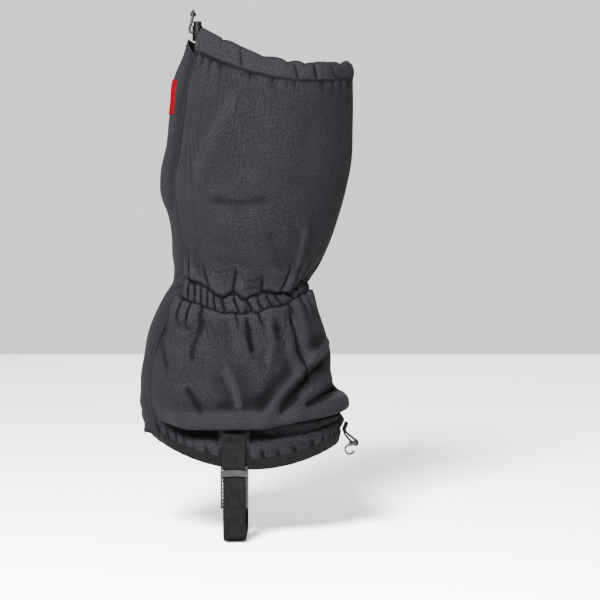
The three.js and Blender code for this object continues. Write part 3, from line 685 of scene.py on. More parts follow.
def pleats(angle, count, lean=0.0, seed=0.0):
    """Gathers round the leg, from 0 in the sharp valleys to 1 on the round ridges, unevenly spaced."""
    drift = 1.1 * np.sin(angle * 3 + seed) + 0.7 * np.sin(angle * 7 + 2 * seed + 1.3)
    phase = angle * count / 2 + drift + lean
    return np.abs(np.sin(phase)) ** 0.6


def uneven(angle, seed):
    return 0.72 + 0.28 * np.sin(angle * 5 + seed) * np.sin(angle * 11 + 3 * seed)


def bell(value, middle, width):
    return np.exp(-(((value - middle) / width) ** 2))


def ripple(angle, v):
    """Small gathers at the ankle channel, the hem and the drawcord."""
    inside = smooth(v, 6.98, 7.12) * (1 - smooth(v, 7.88, 8.02))
    lean = (v - 7.5) * 1.5
    channel = inside * 4.0 * pleats(angle, 40, lean, 0.4) * uneven(angle, 1.0)
    above = smooth(v, 7.98, 8.15) * (1 - smooth(v, 8.15, 9.1)) * 6.5 * pleats(angle, 19, lean * 0.5, 2.2)
    below = (1 - smooth(v, 6.85, 7.02)) * smooth(v, 5.8, 6.85) * 5.5 * pleats(angle, 19, lean * 0.35, 1.1)
    hem = (1 - smooth(v, 1.05, 1.9)) * 2.4 * (pleats(angle, 38, v * 0.7, 0.9) - 0.7) * uneven(angle, 2.0)
    casing = smooth(v, 14.95, 15.3) * 3.2 * (pleats(angle, 12, v * 0.6, 3.0) - 0.6) * uneven(angle, 0.3)
    hanging = smooth(v, 14.5, 14.9) * (1 - smooth(v, 14.9, 15.05)) * 1.1 * (pleats(angle, 24, 0.0, 1.7) - 0.6)
    return channel + above * uneven(angle, 2.6) + below * uneven(angle, 0.5) + hem + casing + hanging


def boot_fold(x, z):
    """The roll of slack cloth that rests on the boot: how far out it stands and how far it drops."""
    edge = np.interp(x, [-60, 25, 62, 101], [107, 107, 113, 119])
    over = z - edge
    held = smooth(x, -76, -34)
    roll = 7.0 * bell(over, 5.0, 9.0) * smooth(over, -3.0, 1.5)
    tuck = 8.0 * bell(over, -7.5, 8.0) * (1 - smooth(over, -3.0, 1.0))
    return (roll - tuck) * held, 4.5 * bell(over, 1.5, 4.0) * held


def shaped_leg():
    angle, v = leg_grid()
    points = leg_point(angle, v)
    normal = leg_normal(angle, v)
    x, y, z = points[..., 0], points[..., 1], points[..., 2]
    lift = np.zeros(x.shape)
    for folds, on_side in ((OUTER_FOLDS, y <= 0), (INNER_FOLDS, y > 0)):
        total = sum(crease(x, z, line, depth, width) for line, depth, width in folds)
        lift += np.where(on_side, total, 0.0)
    lift *= smooth(np.abs(y), 0.0, 9.0)
    roll, drop = boot_fold(x, z)
    sewn = 0.8 * bell(v, CHANNEL_FOOT, 0.05) + 0.8 * bell(v, CHANNEL_HEAD, 0.05) + 0.6 * bell(v, CASING, 0.05)
    lift = (lift + ripple(angle, v)) * (1 - sewn) - 0.3 * sewn + roll
    # Under the flap the rear of the leg stays flat.
    lift *= np.where(np.cos(angle) < 0, smooth(np.abs(y), 12.0, 27.0), 1.0)
    pressed = held_flat(x, y, v)
    lift = lift * (1 - pressed) - 0.5 * pressed
    # The drawcord puffs the casing out between its stitching and the rim.
    lift += 2.2 * np.sin(math.pi * np.clip((v - CASING) / (RIM - CASING), 0, 1)) ** 0.8
    points = points + normal * lift[..., None]
    points[..., 2] -= drop
    points[..., 2] += channel_wave(angle, v)
    wavy = smooth(v, 15.2, 16.0) * np.where(np.cos(angle) < -0.7, 0.0, 1.0)
    points[..., 2] += wavy * 3.0 * (pleats(angle, 13, 0.0, 4.1) - 0.65)
    return angle, v, points


def channel_wave(angle, v):
    """The ankle channel wanders up and down where the elastic has drawn it in."""
    front = np.where(np.cos(angle) < 0, smooth(np.abs(np.sin(angle)), 0.35, 0.6), 1.0)
    high = 2.4 * np.sin(angle * 10 + 1.5 * np.sin(angle * 4)) * bell(v, 8.2, 0.6)
    both = 1.3 * np.sin(angle * 17 + 2.0 * np.sin(angle * 5 + 1.0)) * bell(v, 7.5, 0.8)
    return (high + both) * front


def held_flat(x, y, v):
    """1 where a strap or the hook tab is sewn on the cloth, fading to 0 round it."""
    strap = (1 - smooth(np.abs(x), 11.0, 16.0)) * (1 - smooth(v, 2.3, 2.7))
    tab = smooth(x, 76.0, 84.0) * (1 - smooth(np.abs(y), 9.0, 13.0)) * (1 - smooth(v, 2.0, 2.4))
    return np.maximum(strap, tab)


angle_grid, v_grid, leg = shaped_leg()


CLOTH_STEPS = 14
LARGEST_MOVE = 5.0


def relax_leg(points):
    """Lets the shaped leg find its own small wrinkles as a cloth that is a little larger than its form."""
    mesh = grid_mesh("leg_cloth", points, surface_uv(points))
    obj = new_object("leg_cloth", mesh, None)
    hold = obj.vertex_groups.new(name="hold")
    spare = obj.vertex_groups.new(name="spare")
    v = v_grid.reshape(-1)
    angle = angle_grid.reshape(-1)
    firm = np.full(v.shape, 0.16)
    for place, width in ((7.0, 0.10), (8.0, 0.10), (15.0, 0.08), (0.9, 0.2), (16.0, 0.3)):
        firm = np.maximum(firm, bell(v, place, width))
    firm = np.maximum(firm, smooth(v, 6.9, 7.0) * (1 - smooth(v, 8.0, 8.1)) * 0.7)
    flat = held_flat(points[..., 0], points[..., 1], v_grid).reshape(-1)
    firm = np.maximum(firm, flat)
    rear = np.abs(angle - 2 * math.pi)
    firm = np.maximum(firm, smooth(rear, rear.max() - 0.55, rear.max() - 0.35))
    loose = 0.12 + 0.75 * np.exp(-(((v - 7.5) / 1.6) ** 2)) + 0.8 * np.exp(-(((v - 2.5) / 1.6) ** 2))
    for index, (pin, slack) in enumerate(zip(firm.tolist(), np.clip(loose, 0, 1).tolist())):
        hold.add([index], pin, "REPLACE")
        spare.add([index], slack, "REPLACE")
    cloth = obj.modifiers.new("cloth", "CLOTH")
    settings = cloth.settings
    settings.quality = 6
    settings.mass = 0.15
    settings.tension_stiffness = 25.0
    settings.compression_stiffness = 25.0
    settings.shear_stiffness = 8.0
    settings.bending_stiffness = 0.25
    settings.air_damping = 2.0
    settings.vertex_group_mass = "hold"
    settings.pin_stiffness = 1.0
    settings.shrink_min = 0.0
    settings.shrink_max = -0.07
    settings.vertex_group_shrink = "spare"
    settings.effector_weights.gravity = 0.15
    cloth.collision_settings.use_collision = False
    cloth.collision_settings.use_self_collision = False
    scene = bpy.context.scene
    cloth.point_cache.frame_start = 1
    cloth.point_cache.frame_end = 20
    for step in range(1, CLOTH_STEPS + 1):
        scene.frame_set(step)
    depsgraph = bpy.context.evaluated_depsgraph_get()
    final = obj.evaluated_get(depsgraph).to_mesh()
    moved = np.empty(len(final.vertices) * 3, np.float32)
    final.vertices.foreach_get("co", moved)
    obj.evaluated_get(depsgraph).to_mesh_clear()
    scene.frame_set(1)
    bpy.data.objects.remove(obj, do_unlink=True)
    bpy.data.meshes.remove(mesh)
    moved = moved.reshape(points.shape).astype(float) / MM
    move = moved - points
    size = np.linalg.norm(move, axis=-1, keepdims=True)
    return points + move * np.minimum(1.0, LARGEST_MOVE / np.maximum(size, 1e-9))


leg = relax_leg(leg)

leg_normals = normals_of(leg)
if np.sum(leg_normals[ROWS // 2, :, 1] * leg[ROWS // 2, :, 1]) < 0:
    leg_normals = -leg_normals
ROW_V = v_grid[:, 0]


def sewn_line(v, first=0.0, last=1.0, away=0.0):
    """Points and normals on the finished cloth at v, between two shares of the way round."""
    row = float(np.interp(v, ROW_V, np.arange(ROWS)))
    low = int(row)
    high = min(low + 1, ROWS - 1)
    part = row - low
    a, b = int(first * 2 * HALF_COLUMNS), int(last * 2 * HALF_COLUMNS) + 1
    points = leg[low, a:b] * (1 - part) + leg[high, a:b] * part
    normals = leg_normals[low, a:b] * (1 - part) + leg_normals[high, a:b] * part
    normals = normals / np.linalg.norm(normals, axis=-1, keepdims=True)
    return points + normals * away, normals


def turned_rim(points, normals):
    """Carries the cloth over the rim and down inside as the facing of the cord casing."""
    top, out = points[-1], normals[-1]
    rows = [points]
    for turn in (45, 90, 135):
        bend = math.radians(turn)
        rows.append((top - out * 0.7 * (1 - math.cos(bend)) + np.array([0, 0, 0.8 * math.sin(bend)]))[None])
    for share in np.linspace(0.0, 1.0, 15):
        at = float(np.interp(RIM - share * (RIM - CASING), ROW_V, np.arange(ROWS)))
        low = int(at)
        high = min(low + 1, ROWS - 1)
        base = points[low] * (1 - at + low) + points[high] * (at - low)
        face = normals[low] * (1 - at + low) + normals[high] * (at - low)
        rows.append((base - face * (1.4 + 5.2 * math.sin(math.pi * share)))[None])
    return np.concatenate(rows)


FRONT_SEAM = 0.04  # half the gap between the two sides
for name, columns, node_side, seam, outward in (
    ("outer_leg", slice(0, HALF_COLUMNS + 1), "outer", -1, -1),
    ("inner_leg", slice(HALF_COLUMNS, None), "inner", 0, 1),
):
    points = turned_rim(leg[:, columns], leg_normals[:, columns])
    points[:, seam, 1] = outward * FRONT_SEAM
    side_cloth = sheet_piece(name, points, SHELL, SHELL_WALL, facing=(0, outward, 0))
    settle(side_cloth, "shell", "shell_fabric", f"{node_side}_panel", f"{node_side}_cord_facing")


def stand_off(angle, v, distance):
    return leg_point(angle, v) + leg_normal(angle, v) * np.asarray(distance)[..., None]


def round_band(name, low, high, rear_y, distance, material, thickness, rows, columns=300):
    """A band on the leg surface from the rear of the outer side, round the front, to the inner side."""
    v = np.linspace(low, high, rows)[:, None] * np.ones((1, columns))
    start = rear_angle(-rear_y, v)
    angle = start + (4 * math.pi - 2 * start) * np.linspace(0, 1, columns)[None, :]
    return sheet_piece(name, stand_off(angle, v, distance(angle, v)), material, thickness)


# ---------------------------------------------------------------------------------------------------
# Hem binding, ankle elastic and the strip that holds it
# ---------------------------------------------------------------------------------------------------
def binding_stand(angle, v):
    ruffle = 1.1 * (pleats(angle, 38, v * 0.7, 0.9) - 0.7) * uneven(angle, 2.0)
    point = leg_point(angle, v)
    flat = held_flat(point[..., 0], point[..., 1], v)
    puffed = 0.5 * np.sin(math.pi * v)
    return ruffle * (0.45 + 0.55 * v) * (1 - flat) - 0.3 * flat + puffed


binding = round_band("hem_edging", 0.02, 0.99, 6.0, binding_stand, BINDING, 2.3, 12)
soften_edges(binding, 0.8, 3)
settle(binding, "shell", "elastic", "hem_binding")

elastic = round_band("ankle_elastic_band", 7.12, 7.88, 18.0, lambda a, v: -1.3 + 0.0 * v, ELASTIC, 0.9, 7)
settle(elastic, "shell", "elastic", "ankle_elastic")
strip = round_band(
    "ankle_strip", 7.0, 8.0, 18.0, lambda a, v: -2.4 - 0.35 * pleats(a, 60, v * 2, 0.7), LINING, 0.5, 14
)
settle(strip, "shell", "shell_fabric", "ankle_channel_strip")


# ---------------------------------------------------------------------------------------------------
# Zip: tapes, coils, slider, pull, stops and the box at its foot
# ---------------------------------------------------------------------------------------------------
def rear_strip(name, y_from, y_to, v_from, v_to, distance, material, thickness, columns=4, rows=160):
    v = np.linspace(v_from, v_to, rows)[:, None] * np.ones((1, columns))
    y = np.linspace(y_from, y_to, columns)[None, :] * np.ones((rows, 1))
    return sheet_piece(name, stand_off(rear_angle(y, v), v, distance + 0 * v), material, thickness)


for side, sign in (("outer", -1), ("inner", 1)):
    tape = rear_strip(f"{side}_tape", sign * 0.7, sign * 16.0, 1.2, 14.0, -1.15, TAPE, 0.65)
    settle(tape, "shell", "zip_tape", f"{side}_zip_tape")


def copies(name, template, places, material):
    """One mesh with a copy of the template at each place: a point, the way along it and the way up."""
    shape = np.array([vertex.co for vertex in template.data.vertices])
    faces = [tuple(polygon.vertices) for polygon in template.data.polygons]
    point, along, up = (np.array(part, float) for part in zip(*places))
    side = np.cross(up, along)
    side /= np.linalg.norm(side, axis=-1, keepdims=True)
    up = np.cross(along, side)
    spread = (
        point[:, None]
        + shape[None, :, 0:1] * along[:, None]
        + shape[None, :, 1:2] * side[:, None]
        + shape[None, :, 2:3] * up[:, None]
    )
    mesh = bpy.data.meshes.new(name)
    count = len(shape)
    all_faces = [tuple(i + k * count for i in face) for k in range(len(places)) for face in faces]
    mesh.from_pydata((spread.reshape(-1, 3) * MM).tolist(), [], all_faces)
    mesh.polygons.foreach_set("use_smooth", [True] * len(mesh.polygons))
    return new_object(name, mesh, material)


def stitch_shape(length, width, height):
    """One stitch, lying along X, as a small drawn-out bead."""
    bpy.ops.mesh.primitive_uv_sphere_add(segments=6, ring_count=4, radius=1.0)
    bead = bpy.context.object
    bead.name = "stitch_shape"
    bead.data.transform(Matrix.Diagonal((length / 2, width / 2, height / 2, 1.0)))
    deselect_all()
    return bead


def tooth_shape():
    """One zip tooth, lying along X from the tape to the middle, as a box with bevelled edges."""
    bpy.ops.mesh.primitive_cube_add(size=1.0)
    tooth = bpy.context.object
    tooth.name = "tooth_shape"
    deselect_all()
    tooth.data.transform(Matrix.Diagonal((2.4, 1.25, 1.9, 1.0)))
    bpy.context.view_layer.objects.active = tooth
    tooth.select_set(True)
    bpy.ops.object.mode_set(mode="EDIT")
    bpy.ops.mesh.select_all(action="SELECT")
    bpy.ops.mesh.bevel(offset=0.32, segments=1, affect="EDGES")
    bpy.ops.object.mode_set(mode="OBJECT")
    deselect_all()
    return tooth


def along_rear(y, distance, pitch, v_from, v_to, start=0.0):
    """Even steps up the rear of the leg: points and the way out."""
    v = np.linspace(v_from, v_to, 1500)
    line = stand_off(rear_angle(y, v), v, distance + 0 * v)
    out = leg_normal(rear_angle(y, v), v)
    run = lengths_along(line)
    at = np.arange(start, run[-1], pitch)
    return at_lengths(at, run, line), at_lengths(at, run, out)


tooth = tooth_shape()
TOOTH_PITCH = 1.8
for side, sign, start in (("outer", -1, 0.0), ("inner", 1, TOOTH_PITCH / 2)):
    points, outs = along_rear(sign * 1.95, 0.6, TOOTH_PITCH, 2.05, 13.65, start)
    inward = np.array([0.0, -float(sign), 0.0])
    coil = copies(f"{side}_teeth", tooth, [(p, inward, o) for p, o in zip(points, outs)], TEETH)
    settle(coil, "shell", "zip_coil", f"{side}_zip_coil")
bpy.data.objects.remove(tooth, do_unlink=True)


def refined(node, name, material, body, slot, width, segments=2, angle=28):
    """A CAD solid with its flat faces made whole again and its edges rounded off."""
    source = frame["nodes"][node]
    mesh = source.data.copy()
    mesh.name = name
    mesh.materials.clear()
    obj = new_object(name, mesh, material)
    work = bmesh.new()
    work.from_mesh(mesh)
    bmesh.ops.remove_doubles(work, verts=work.verts, dist=0.00001)
    bmesh.ops.dissolve_limit(work, angle_limit=math.radians(2.0), verts=work.verts, edges=work.edges)
    work.to_mesh(mesh)
    work.free()
    soften_edges(obj, width, segments, angle)
    obj.select_set(True)
    bpy.context.view_layer.objects.active = obj
    bpy.ops.object.shade_smooth_by_angle(angle=math.radians(40))
    deselect_all()
    settle(obj, body, slot, node)
    return obj


refined("zip_slider", "slider_body", STEEL, "zip_slider", "steel", 0.22)
refined("zip_pull", "slider_pull", STEEL, "zip_pull", "steel", 0.15)
refined("inner_top_stop", "inner_stop", STEEL, "shell", "steel", 0.25)
refined("outer_top_stop", "outer_stop", STEEL, "shell", "steel", 0.25)
refined("zip_retainer_box", "foot_box", PLASTIC, "shell", "black_plastic", 0.4)
refined("zip_insertion_pin", "foot_pin", PLASTIC, "shell", "black_plastic", 0.2)


# ---------------------------------------------------------------------------------------------------
# Storm flap, its patches and the side label
# ---------------------------------------------------------------------------------------------------
FLAP_HALF = 24.0
FLAP_FOOT, FLAP_HEAD = 0.5, 15.35


def flap_angle(share, v):
    first = rear_angle(-FLAP_HALF, v)
    return first + (rear_angle(FLAP_HALF, v) - first) * share


def flap_stand(share, v):
    lifted = np.sin(math.pi * np.clip(share / 0.9, 0, 1)) ** 0.8
    rise = 3.1 + 4.5 * smooth(v, 9.9, 10.9)
    seated = smooth(share, 0.35, 0.72) * 2.6
    step = 1.0 * (1 - smooth(v, 1.3, 2.5))
    return 1.3 + step + np.maximum(lifted * rise, seated)


def flap_cloth(share, v):
    """The finished flap: hugging the leg where it is sewn, with soft gathers at the ankle and hem."""
    sewn = 1 - smooth(share, 0.0, 0.14)
    settled = smooth(share, 0.0, 0.38)
    free = np.sin(math.pi * np.clip(share, 0, 1)) ** 0.7
    soft = 0.55 * np.sin(v * 2.3 + 3.0 * share) + 0.35 * np.sin(v * 5.1 - 4.0 * share + 1.0)
    ankle = bell(v, 7.5, 0.7) * (1.6 * pleats(share * 1.1 + v * 0.10, 34, (v - 7.5) * 2.0, 0.4) - 0.5)
    knee = bell(v, 8.7, 0.35) * 1.2 - bell(v, 7.6, 0.5) * 1.3
    foot = (1 - smooth(v, 0.6, 2.2)) * 0.8 * np.sin(share * 17 + v * 3)
    lying = 0.6 + 1.0 * (1 - smooth(v, 1.3, 2.5))
    stand = lying + (flap_stand(share, v) - lying) * settled
    return stand + free * (soft + ankle + knee + foot) * settled


def flap_head(share):
    return FLAP_HEAD - 0.55 * (1 - smooth(share, 0, 0.55))


def flap_sheet(shares, levels):
    share = np.asarray(shares)[None, :] * np.ones((len(levels), 1))
    v = FLAP_FOOT + (flap_head(share) - FLAP_FOOT) * np.asarray(levels)[:, None]
    return stand_off(flap_angle(share, v), v, flap_cloth(share, v))


flap_points = flap_sheet(np.linspace(0, 1, 45), np.linspace(0, 1, 320))
flap = sheet_piece("rear_flap", flap_points, SHELL, 0.9, facing=(-1, 0, 0))
soften_edges(flap, 0.3, 2)


def on_flap(obj, slot, *nodes):
    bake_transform(obj)
    if nodes:
        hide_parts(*nodes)


on_flap(flap, "shell_fabric", "storm_flap")


def flap_patch(name, low, high, v_from, v_to, distance, material, thickness, rows=30, columns=14):
    share = np.linspace(low, high, columns)[None, :] * np.ones((rows, 1))
    v = np.linspace(v_from, v_to, rows)[:, None] * np.ones((1, columns))
    obj = sheet_piece(name, stand_off(flap_angle(share, v), v, distance(share, v)), material, thickness)
    soften_edges(obj, 0.2, 2)
    return obj


PATCH_SHARES = (0.75, 0.9375)
PATCH_OFF = 0.95  # from the cloth's middle to the patch's
for place, levels in {"top": (12.5, 14.0), "middle": (9.5, 11.0), "bottom": (3.5, 5.5)}.items():
    for kind, stand, material, body in (
        ("hook", lambda s, v: flap_cloth(s, v) - PATCH_OFF, HOOKS, "flap"),
        ("loop", lambda s, v: PATCH_OFF + 0 * v, LOOPS, "shell"),
    ):
        patch = flap_patch(f"{place}_{kind}s", *PATCH_SHARES, *levels, stand, material, 0.9)
        settle(patch, body, f"{kind}_tape", f"{kind}_patch_{place}")


def label_stand(share, v):
    return flap_cloth(share, v) + 0.85 + 0.35 * np.sin(math.pi * (share - 0.25) / 0.25)


label = flap_patch("woven_label", 0.25, 0.5, 13.0, 14.0, label_stand, LABEL, 0.6, 40, 20)
settle(label, "flap", "red_label", "side_label")


# ---------------------------------------------------------------------------------------------------
# Webbing: the anchor on the hem, the sole strap, the loose tail and the hook tab
# ---------------------------------------------------------------------------------------------------
STRAP_LEAN = math.radians(8)
BUCKLE = (-52.965, 53.112)
WEB_WIDTH = 20.0
WEB_THICKNESS = 1.5
BEND = 1.25 + 0.3 + WEB_THICKNESS / 2


def on_buckle(d, h):
    sine, cosine = math.sin(STRAP_LEAN), math.cos(STRAP_LEAN)
    return (BUCKLE[0] - cosine * d - sine * h, BUCKLE[1] - sine * d + cosine * h)


def turn_round(d, h, start, end, steps=14):
    angles = np.linspace(start, end, steps + 1)
    return [on_buckle(d + BEND * math.cos(a), h + BEND * math.sin(a)) for a in angles]


def strap_on_leg(v, distance):
    section = along_sections(np.array(v))
    back = section[2] / (section[2] - section[0])
    point = stand_off(np.array(2 * math.pi - math.acos(1 - 2 * back)), np.array(v), np.array(distance))
    return (point[1], point[2])


ON_PANEL = 0.5 + 0.3 + WEB_THICKNESS / 2
ON_BINDING = 1.2 + 0.3 + WEB_THICKNESS / 2
SEWN = [(1.0, ON_BINDING + 0.3), (1.4, ON_PANEL + 0.85), (1.8, ON_PANEL + 0.6), (2.2, ON_PANEL + 0.75)]


def webbing(name, line, plane, width, slant=0.0, columns=17, rib=1.7):
    """Ribbed webbing along a line of points in one plane, its width across that plane."""
    line = np.array(line, float)
    run = lengths_along(line)
    rows = int(run[-1] / (rib / 4))
    across = np.linspace(-0.5, 0.5, columns)
    s = np.linspace(0, run[-1], rows)[:, None] * np.ones((1, columns))
    end = np.clip((s - run[-1] + 14.0) / 14.0, 0, 1)
    s = np.clip(s + slant * across[None, :] * end, 0, run[-1] + 3)
    a = np.interp(s, run, line[:, 0])
    b = np.interp(s, run, line[:, 1])
    past = np.maximum(s - run[-1], 0)
    way = (line[-1] - line[-2]) / np.linalg.norm(line[-1] - line[-2])
    a, b = a + way[0] * past, b + way[1] * past
    da, db = np.gradient(a, axis=0), np.gradient(b, axis=0)
    size = np.maximum(np.hypot(da, db), 1e-9)
    rise = 0.17 * np.cos(math.tau * s / rib) * (1 - np.abs(across * 2) ** 6)[None, :]
    rise = rise + 0.10 * np.cos(across * math.tau * 4)[None, :]
    a, b = a - db / size * rise, b + da / size * rise
    edge = 0.16 * np.cos(math.tau * s / (rib * 2)) * (np.abs(across[None, :]) > 0.49)
    w = across[None, :] * width + np.sign(across)[None, :] * edge
    stack = [w, a, b] if plane == "yz" else [a, w, b]
    return sheet_piece(name, np.stack(stack, axis=-1), WEBBING, WEB_THICKNESS - 0.3)


wrap = turn_round(0.5, 5.0, math.pi, 0.0)
tail_line = [
    on_buckle(0.5 - BEND, -26.0),
    on_buckle(0.5 - BEND, -10.0),
    *wrap,
    on_buckle(0.5 + BEND, -16.0),
    on_buckle(0.5 + BEND + 0.6, -32.0),
    on_buckle(0.5 + BEND + 0.4, 5.0 - 54.0),
]
tail = webbing("loose_tail", tail_line, "yz", WEB_WIDTH, slant=-4.0)
soften_edges(tail, 0.25, 2, 60)
settle(tail, "buckle", "webbing", "strap_free_end")


def quadratic(p0, p1, p2, steps=12):
    t = np.linspace(0, 1, steps + 1)[:, None]
    return ((1 - t) ** 2 * np.array(p0) + 2 * t * (1 - t) * np.array(p1) + t * t * np.array(p2)).tolist()


SOLE_Z = -WEB_THICKNESS / 2
run_foot = on_buckle(0.5 - BEND, (9.0 - BUCKLE[1]) / math.cos(STRAP_LEAN))
flat_end = run_foot[0] + 14.0
inner_sewn = [(-y, z) for y, z in (strap_on_leg(v, d) for v, d in SEWN)]
sole_line = [
    on_buckle(0.5 - BEND, -26.3),
    *quadratic(run_foot, (run_foot[0] + 1.4, SOLE_Z), (flat_end, SOLE_Z)),
    *quadratic((-flat_end, SOLE_Z), (-run_foot[0] - 1.4, SOLE_Z), (-run_foot[0], run_foot[1])),
    *inner_sewn,
]
sole = webbing("boot_strap", sole_line, "yz", WEB_WIDTH)
soften_edges(sole, 0.25, 2, 60)
settle(sole, "shell", "webbing", "sole_strap")

anchor_line = [
    *[strap_on_leg(v, d) for v, d in SEWN][::-1],
    *turn_round(0.0, 14.0, math.pi, 2 * math.pi),
    *[strap_on_leg(v, d + WEB_THICKNESS + 0.3) for v, d in SEWN],
    strap_on_leg(2.5, ON_PANEL + 1.2),
]
anchor = webbing("hem_anchor", anchor_line, "yz", WEB_WIDTH)
soften_edges(anchor, 0.25, 2, 60)
settle(anchor, "shell", "webbing", "strap_anchor")


def tab_on_leg(v, distance):
    point = stand_off(np.array(0.0), np.array(v), np.array(distance))
    return (point[0], point[2])


HOOK_BAR = (110.0, 84.0)
TAB_BEND = 1.1 + 0.3 + WEB_THICKNESS / 2
hook_turn = [
    (HOOK_BAR[0] + TAB_BEND * math.cos(a), HOOK_BAR[1] + TAB_BEND * math.sin(a))
    for a in np.radians(np.linspace(215, 415, 13))
]
tab_line = [
    tab_on_leg(1.85, ON_PANEL + 0.1),
    tab_on_leg(1.1, ON_BINDING),
    (HOOK_BAR[0] - 9.6, HOOK_BAR[1] + 7.5),
    (HOOK_BAR[0] - 5.8, HOOK_BAR[1] + 2.6),
    *hook_turn,
    (HOOK_BAR[0] - 4, HOOK_BAR[1] + 5.4),
    (HOOK_BAR[0] - 8, HOOK_BAR[1] + 9),
    tab_on_leg(1.1, ON_BINDING + WEB_THICKNESS + 0.3),
    tab_on_leg(1.85, ON_PANEL + 0.1 + WEB_THICKNESS + 0.3),
]
tab = webbing("front_tab", tab_line, "xz", 16.0)
soften_edges(tab, 0.25, 2, 60)
settle(tab, "shell", "webbing", "lace_hook_tab")

refined("buckle_frame", "strap_buckle", STEEL, "buckle", "steel", 0.45, 3)
refined("lace_hook", "hook_wire", STEEL, "lace_hook", "steel", 0.3, 2)


# ---------------------------------------------------------------------------------------------------
# Drawcord, its knot and its lock
# ---------------------------------------------------------------------------------------------------
LOCK = np.array([-35.0, 0.0, 460.5])
CORD_RADIUS = 1.2
CORD_SIDE = CORD_RADIUS + 0.15
CORD_END = [
    (-4, -0.2, 20.5),
    (-4.4, -0.1, 14),
    (-5.6, 0, 8.6),
    (-7.1, 0, 4.8),
    (-7.1, 0, 1.7),
    (-5.4, 0, 0.1),
    (0, 0, 0),
    (5.2, 0, 0),
    (6.7, -0.5, -1.5),
    (6.1, -2.8, -4.6),
    (4.6, -6.4, -6.4),
]


def drawcord_points():
    first = rear_angle(-12.0, np.array(15.5))
    angles = np.linspace(first, 4 * math.pi - first, 23)
    casing = stand_off(angles, np.full(angles.shape, 15.5), np.full(angles.shape, -3.4))
    end = np.array(CORD_END) - [0, CORD_SIDE, 0] + LOCK
    other = (end * [1, -1, 1])[::-1]
    return np.concatenate([end, casing, other])


def smooth_path(points, steps=12):
    """A centripetal Catmull-Rom curve through the points."""
    points = np.concatenate([[2 * points[0] - points[1]], points, [2 * points[-1] - points[-2]]])
    out = []
    for p0, p1, p2, p3 in zip(points[:-3], points[1:-2], points[2:-1], points[3:]):
        steps_apart = [max(np.linalg.norm(b - a), 1e-6) ** 0.5 for a, b in ((p0, p1), (p1, p2), (p2, p3))]
        knots = np.cumsum([0.0] + steps_apart)
        for t in np.linspace(knots[1], knots[2], steps, endpoint=False):
            a1 = p0 + (p1 - p0) * (t - knots[0]) / (knots[1] - knots[0])
            a2 = p1 + (p2 - p1) * (t - knots[1]) / (knots[2] - knots[1])
            a3 = p2 + (p3 - p2) * (t - knots[2]) / (knots[3] - knots[2])
            b1 = a1 + (a2 - a1) * (t - knots[0]) / (knots[2] - knots[0])
            b2 = a2 + (a3 - a2) * (t - knots[1]) / (knots[3] - knots[1])
            out.append(b1 + (b2 - b1) * (t - knots[1]) / (knots[2] - knots[1]))
    out.append(points[-2])
    return np.array(out)


def cord_tube(name, path, radius, material, sides=12, closed=False):
    """A round cord along a path, with braided strands standing slightly proud and a UV map in metres."""
    ahead = np.gradient(path, axis=0)
    ahead /= np.linalg.norm(ahead, axis=-1, keepdims=True)
    side = np.cross(ahead[0], [0.0, 0.0, 1.0])
    if np.linalg.norm(side) < 0.3:
        side = np.cross(ahead[0], [1.0, 0.0, 0.0])
    rings, run = [], lengths_along(path)
    angles = np.linspace(0, math.tau, sides + 1)
    for point, way, length in zip(path, ahead, run):
        side = side - way * np.dot(side, way)
        side /= np.linalg.norm(side)
        up = np.cross(way, side)
        braid = 1 + 0.05 * np.sin(length * 4.2 + 2 * angles) * np.sin(length * 4.2 - 2 * angles)
        ring = np.cos(angles)[:, None] * side + np.sin(angles)[:, None] * up
        rings.append(point + radius * braid[:, None] * ring)
    points = np.array(rings)
    uv = np.stack(np.broadcast_arrays(angles[None, :] / math.tau, run[:, None] * MM), axis=-1)
    mesh = grid_mesh(name, points, uv)
    obj = new_object(name, mesh, material)
    work = bmesh.new()
    work.from_mesh(mesh)
    bmesh.ops.remove_doubles(work, verts=work.verts, dist=0.000001)
    if not closed:
        ends = [edge for edge in work.edges if edge.is_boundary]
        bmesh.ops.holes_fill(work, edges=ends, sides=0)
    bmesh.ops.recalc_face_normals(work, faces=work.faces)
    work.to_mesh(mesh)
    work.free()
    return obj


cord_path = smooth_path(drawcord_points())
drawcord = cord_tube("rim_cord", cord_path, CORD_RADIUS, CORD)
settle(drawcord, "shell", "cord", "drawcord")


def knot_path():
    """An overhand knot that joins the two tails."""
    t = np.linspace(0, math.tau, 90)
    x = np.sin(t) + 2 * np.sin(2 * t)
    y = np.cos(t) - 2 * np.cos(2 * t)
    z = -np.sin(3 * t)
    return np.stack([0.72 * x, 0.95 * y, 1.15 * z], axis=-1) + LOCK + np.array([-4.0, 0.0, 17.0])


knot = cord_tube("cord_knot", knot_path(), 1.0, CORD, 10, closed=True)
settle(knot, "shell", "cord")
refined("cord_lock_barrel", "lock_barrel", PLASTIC, "shell", "black_plastic", 0.35, 2, 40)
refined("cord_lock_plunger", "lock_plunger", PLASTIC, "lock_plunger", "black_plastic", 0.3, 2, 40)


# ---------------------------------------------------------------------------------------------------
# Stitches
# ---------------------------------------------------------------------------------------------------
def stitch_places(points, normals, pitch=3.2):
    run = lengths_along(points)
    at = np.arange(pitch / 2, run[-1], pitch)
    place = at_lengths(at, run, points)
    up = at_lengths(at, run, normals)
    ahead = at_lengths(at + 0.4, run, points) - place
    ahead /= np.maximum(np.linalg.norm(ahead, axis=-1, keepdims=True), 1e-9)
    up -= ahead * np.sum(up * ahead, axis=-1, keepdims=True)
    up /= np.linalg.norm(up, axis=-1, keepdims=True)
    return list(zip(place, ahead, up))


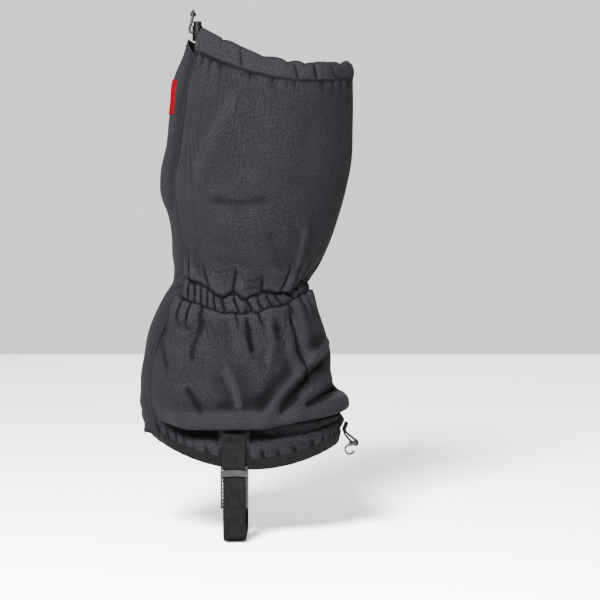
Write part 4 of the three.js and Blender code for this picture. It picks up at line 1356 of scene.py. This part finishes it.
bead = stitch_shape(2.5, 0.9, 0.8)
leg_stitches = []
for v in (CHANNEL_FOOT, CHANNEL_HEAD, CASING):
    leg_stitches += stitch_places(*sewn_line(v, 0.0, 1.0, 0.36))
BINDING_SEAM = 0.80
binding_v = np.full(600, BINDING_SEAM)
binding_start = rear_angle(-8.0, np.array(BINDING_SEAM))
binding_angle = np.linspace(binding_start, 4 * math.pi - binding_start, 600)
leg_stitches += stitch_places(
    stand_off(binding_angle, binding_v, binding_stand(binding_angle, binding_v) + 1.2),
    leg_normal(binding_angle, binding_v),
)
seams = copies("leg_stitching", bead, leg_stitches, BLACK_THREAD)
settle(seams, "shell", "shell_fabric")

NEAR = 0.01
FLAP_THREAD = 0.52


def outward_of(points):
    """Normals of a grid on the flap, away from the leg."""
    normal = normals_of(points)
    return -normal if np.mean(normal[..., 0]) > 0 else normal


flap_rows = []
for at in (0.06, 0.95):
    row = flap_sheet(np.array([at - NEAR, at, at + NEAR]), np.linspace(0.01, 0.985, 500))
    normal = outward_of(row)[:, 1]
    flap_rows += stitch_places(row[:, 1] + normal * FLAP_THREAD, normal)
for level in (0.012, 0.988):
    row = flap_sheet(np.linspace(0.06, 0.95, 160), np.array([level - 0.002, level, level + 0.002]))
    normal = outward_of(row)[1]
    flap_rows += stitch_places(row[1] + normal * FLAP_THREAD, normal)
flap_seams = copies("flap_stitching", bead, flap_rows, BLACK_THREAD)
on_flap(flap_seams, "shell_fabric")


def across_strap(line, from_end, plane_x, out):
    """A sewn line across a strap, so many millimetres before its end."""
    line = np.array(line, float)
    run = lengths_along(line)
    s = run[-1] - from_end
    a, b = np.interp(s, run, line[:, 0]), np.interp(s, run, line[:, 1])
    a2, b2 = np.interp(s + 0.5, run, line[:, 0]), np.interp(s + 0.5, run, line[:, 1])
    way = np.array([a2 - a, b2 - b]) / max(math.hypot(a2 - a, b2 - b), 1e-9)
    normal = np.array([-way[1], way[0]])
    if normal[0] > 0:
        normal = -normal
    x = np.linspace(-plane_x, plane_x, 40)
    points = np.stack([x, np.full(40, a + normal[0] * out), np.full(40, b + normal[1] * out)], axis=-1)
    return points, np.tile([0.0, normal[0], normal[1]], (40, 1))


for name, body, line, ends, half, out in (
    ("tail_stitching", "buckle", tail_line, (27.0, 18.0), 8.5, 0.75),
    ("anchor_stitching", "shell", anchor_line, (16.0, 6.0), 8.0, 0.8),
):
    rows = []
    for from_end in ends:
        rows += stitch_places(*across_strap(line, from_end, half, out), 2.6)
    settle(copies(name, bead, rows, BLACK_THREAD), body, "webbing")
bpy.data.objects.remove(bead, do_unlink=True)
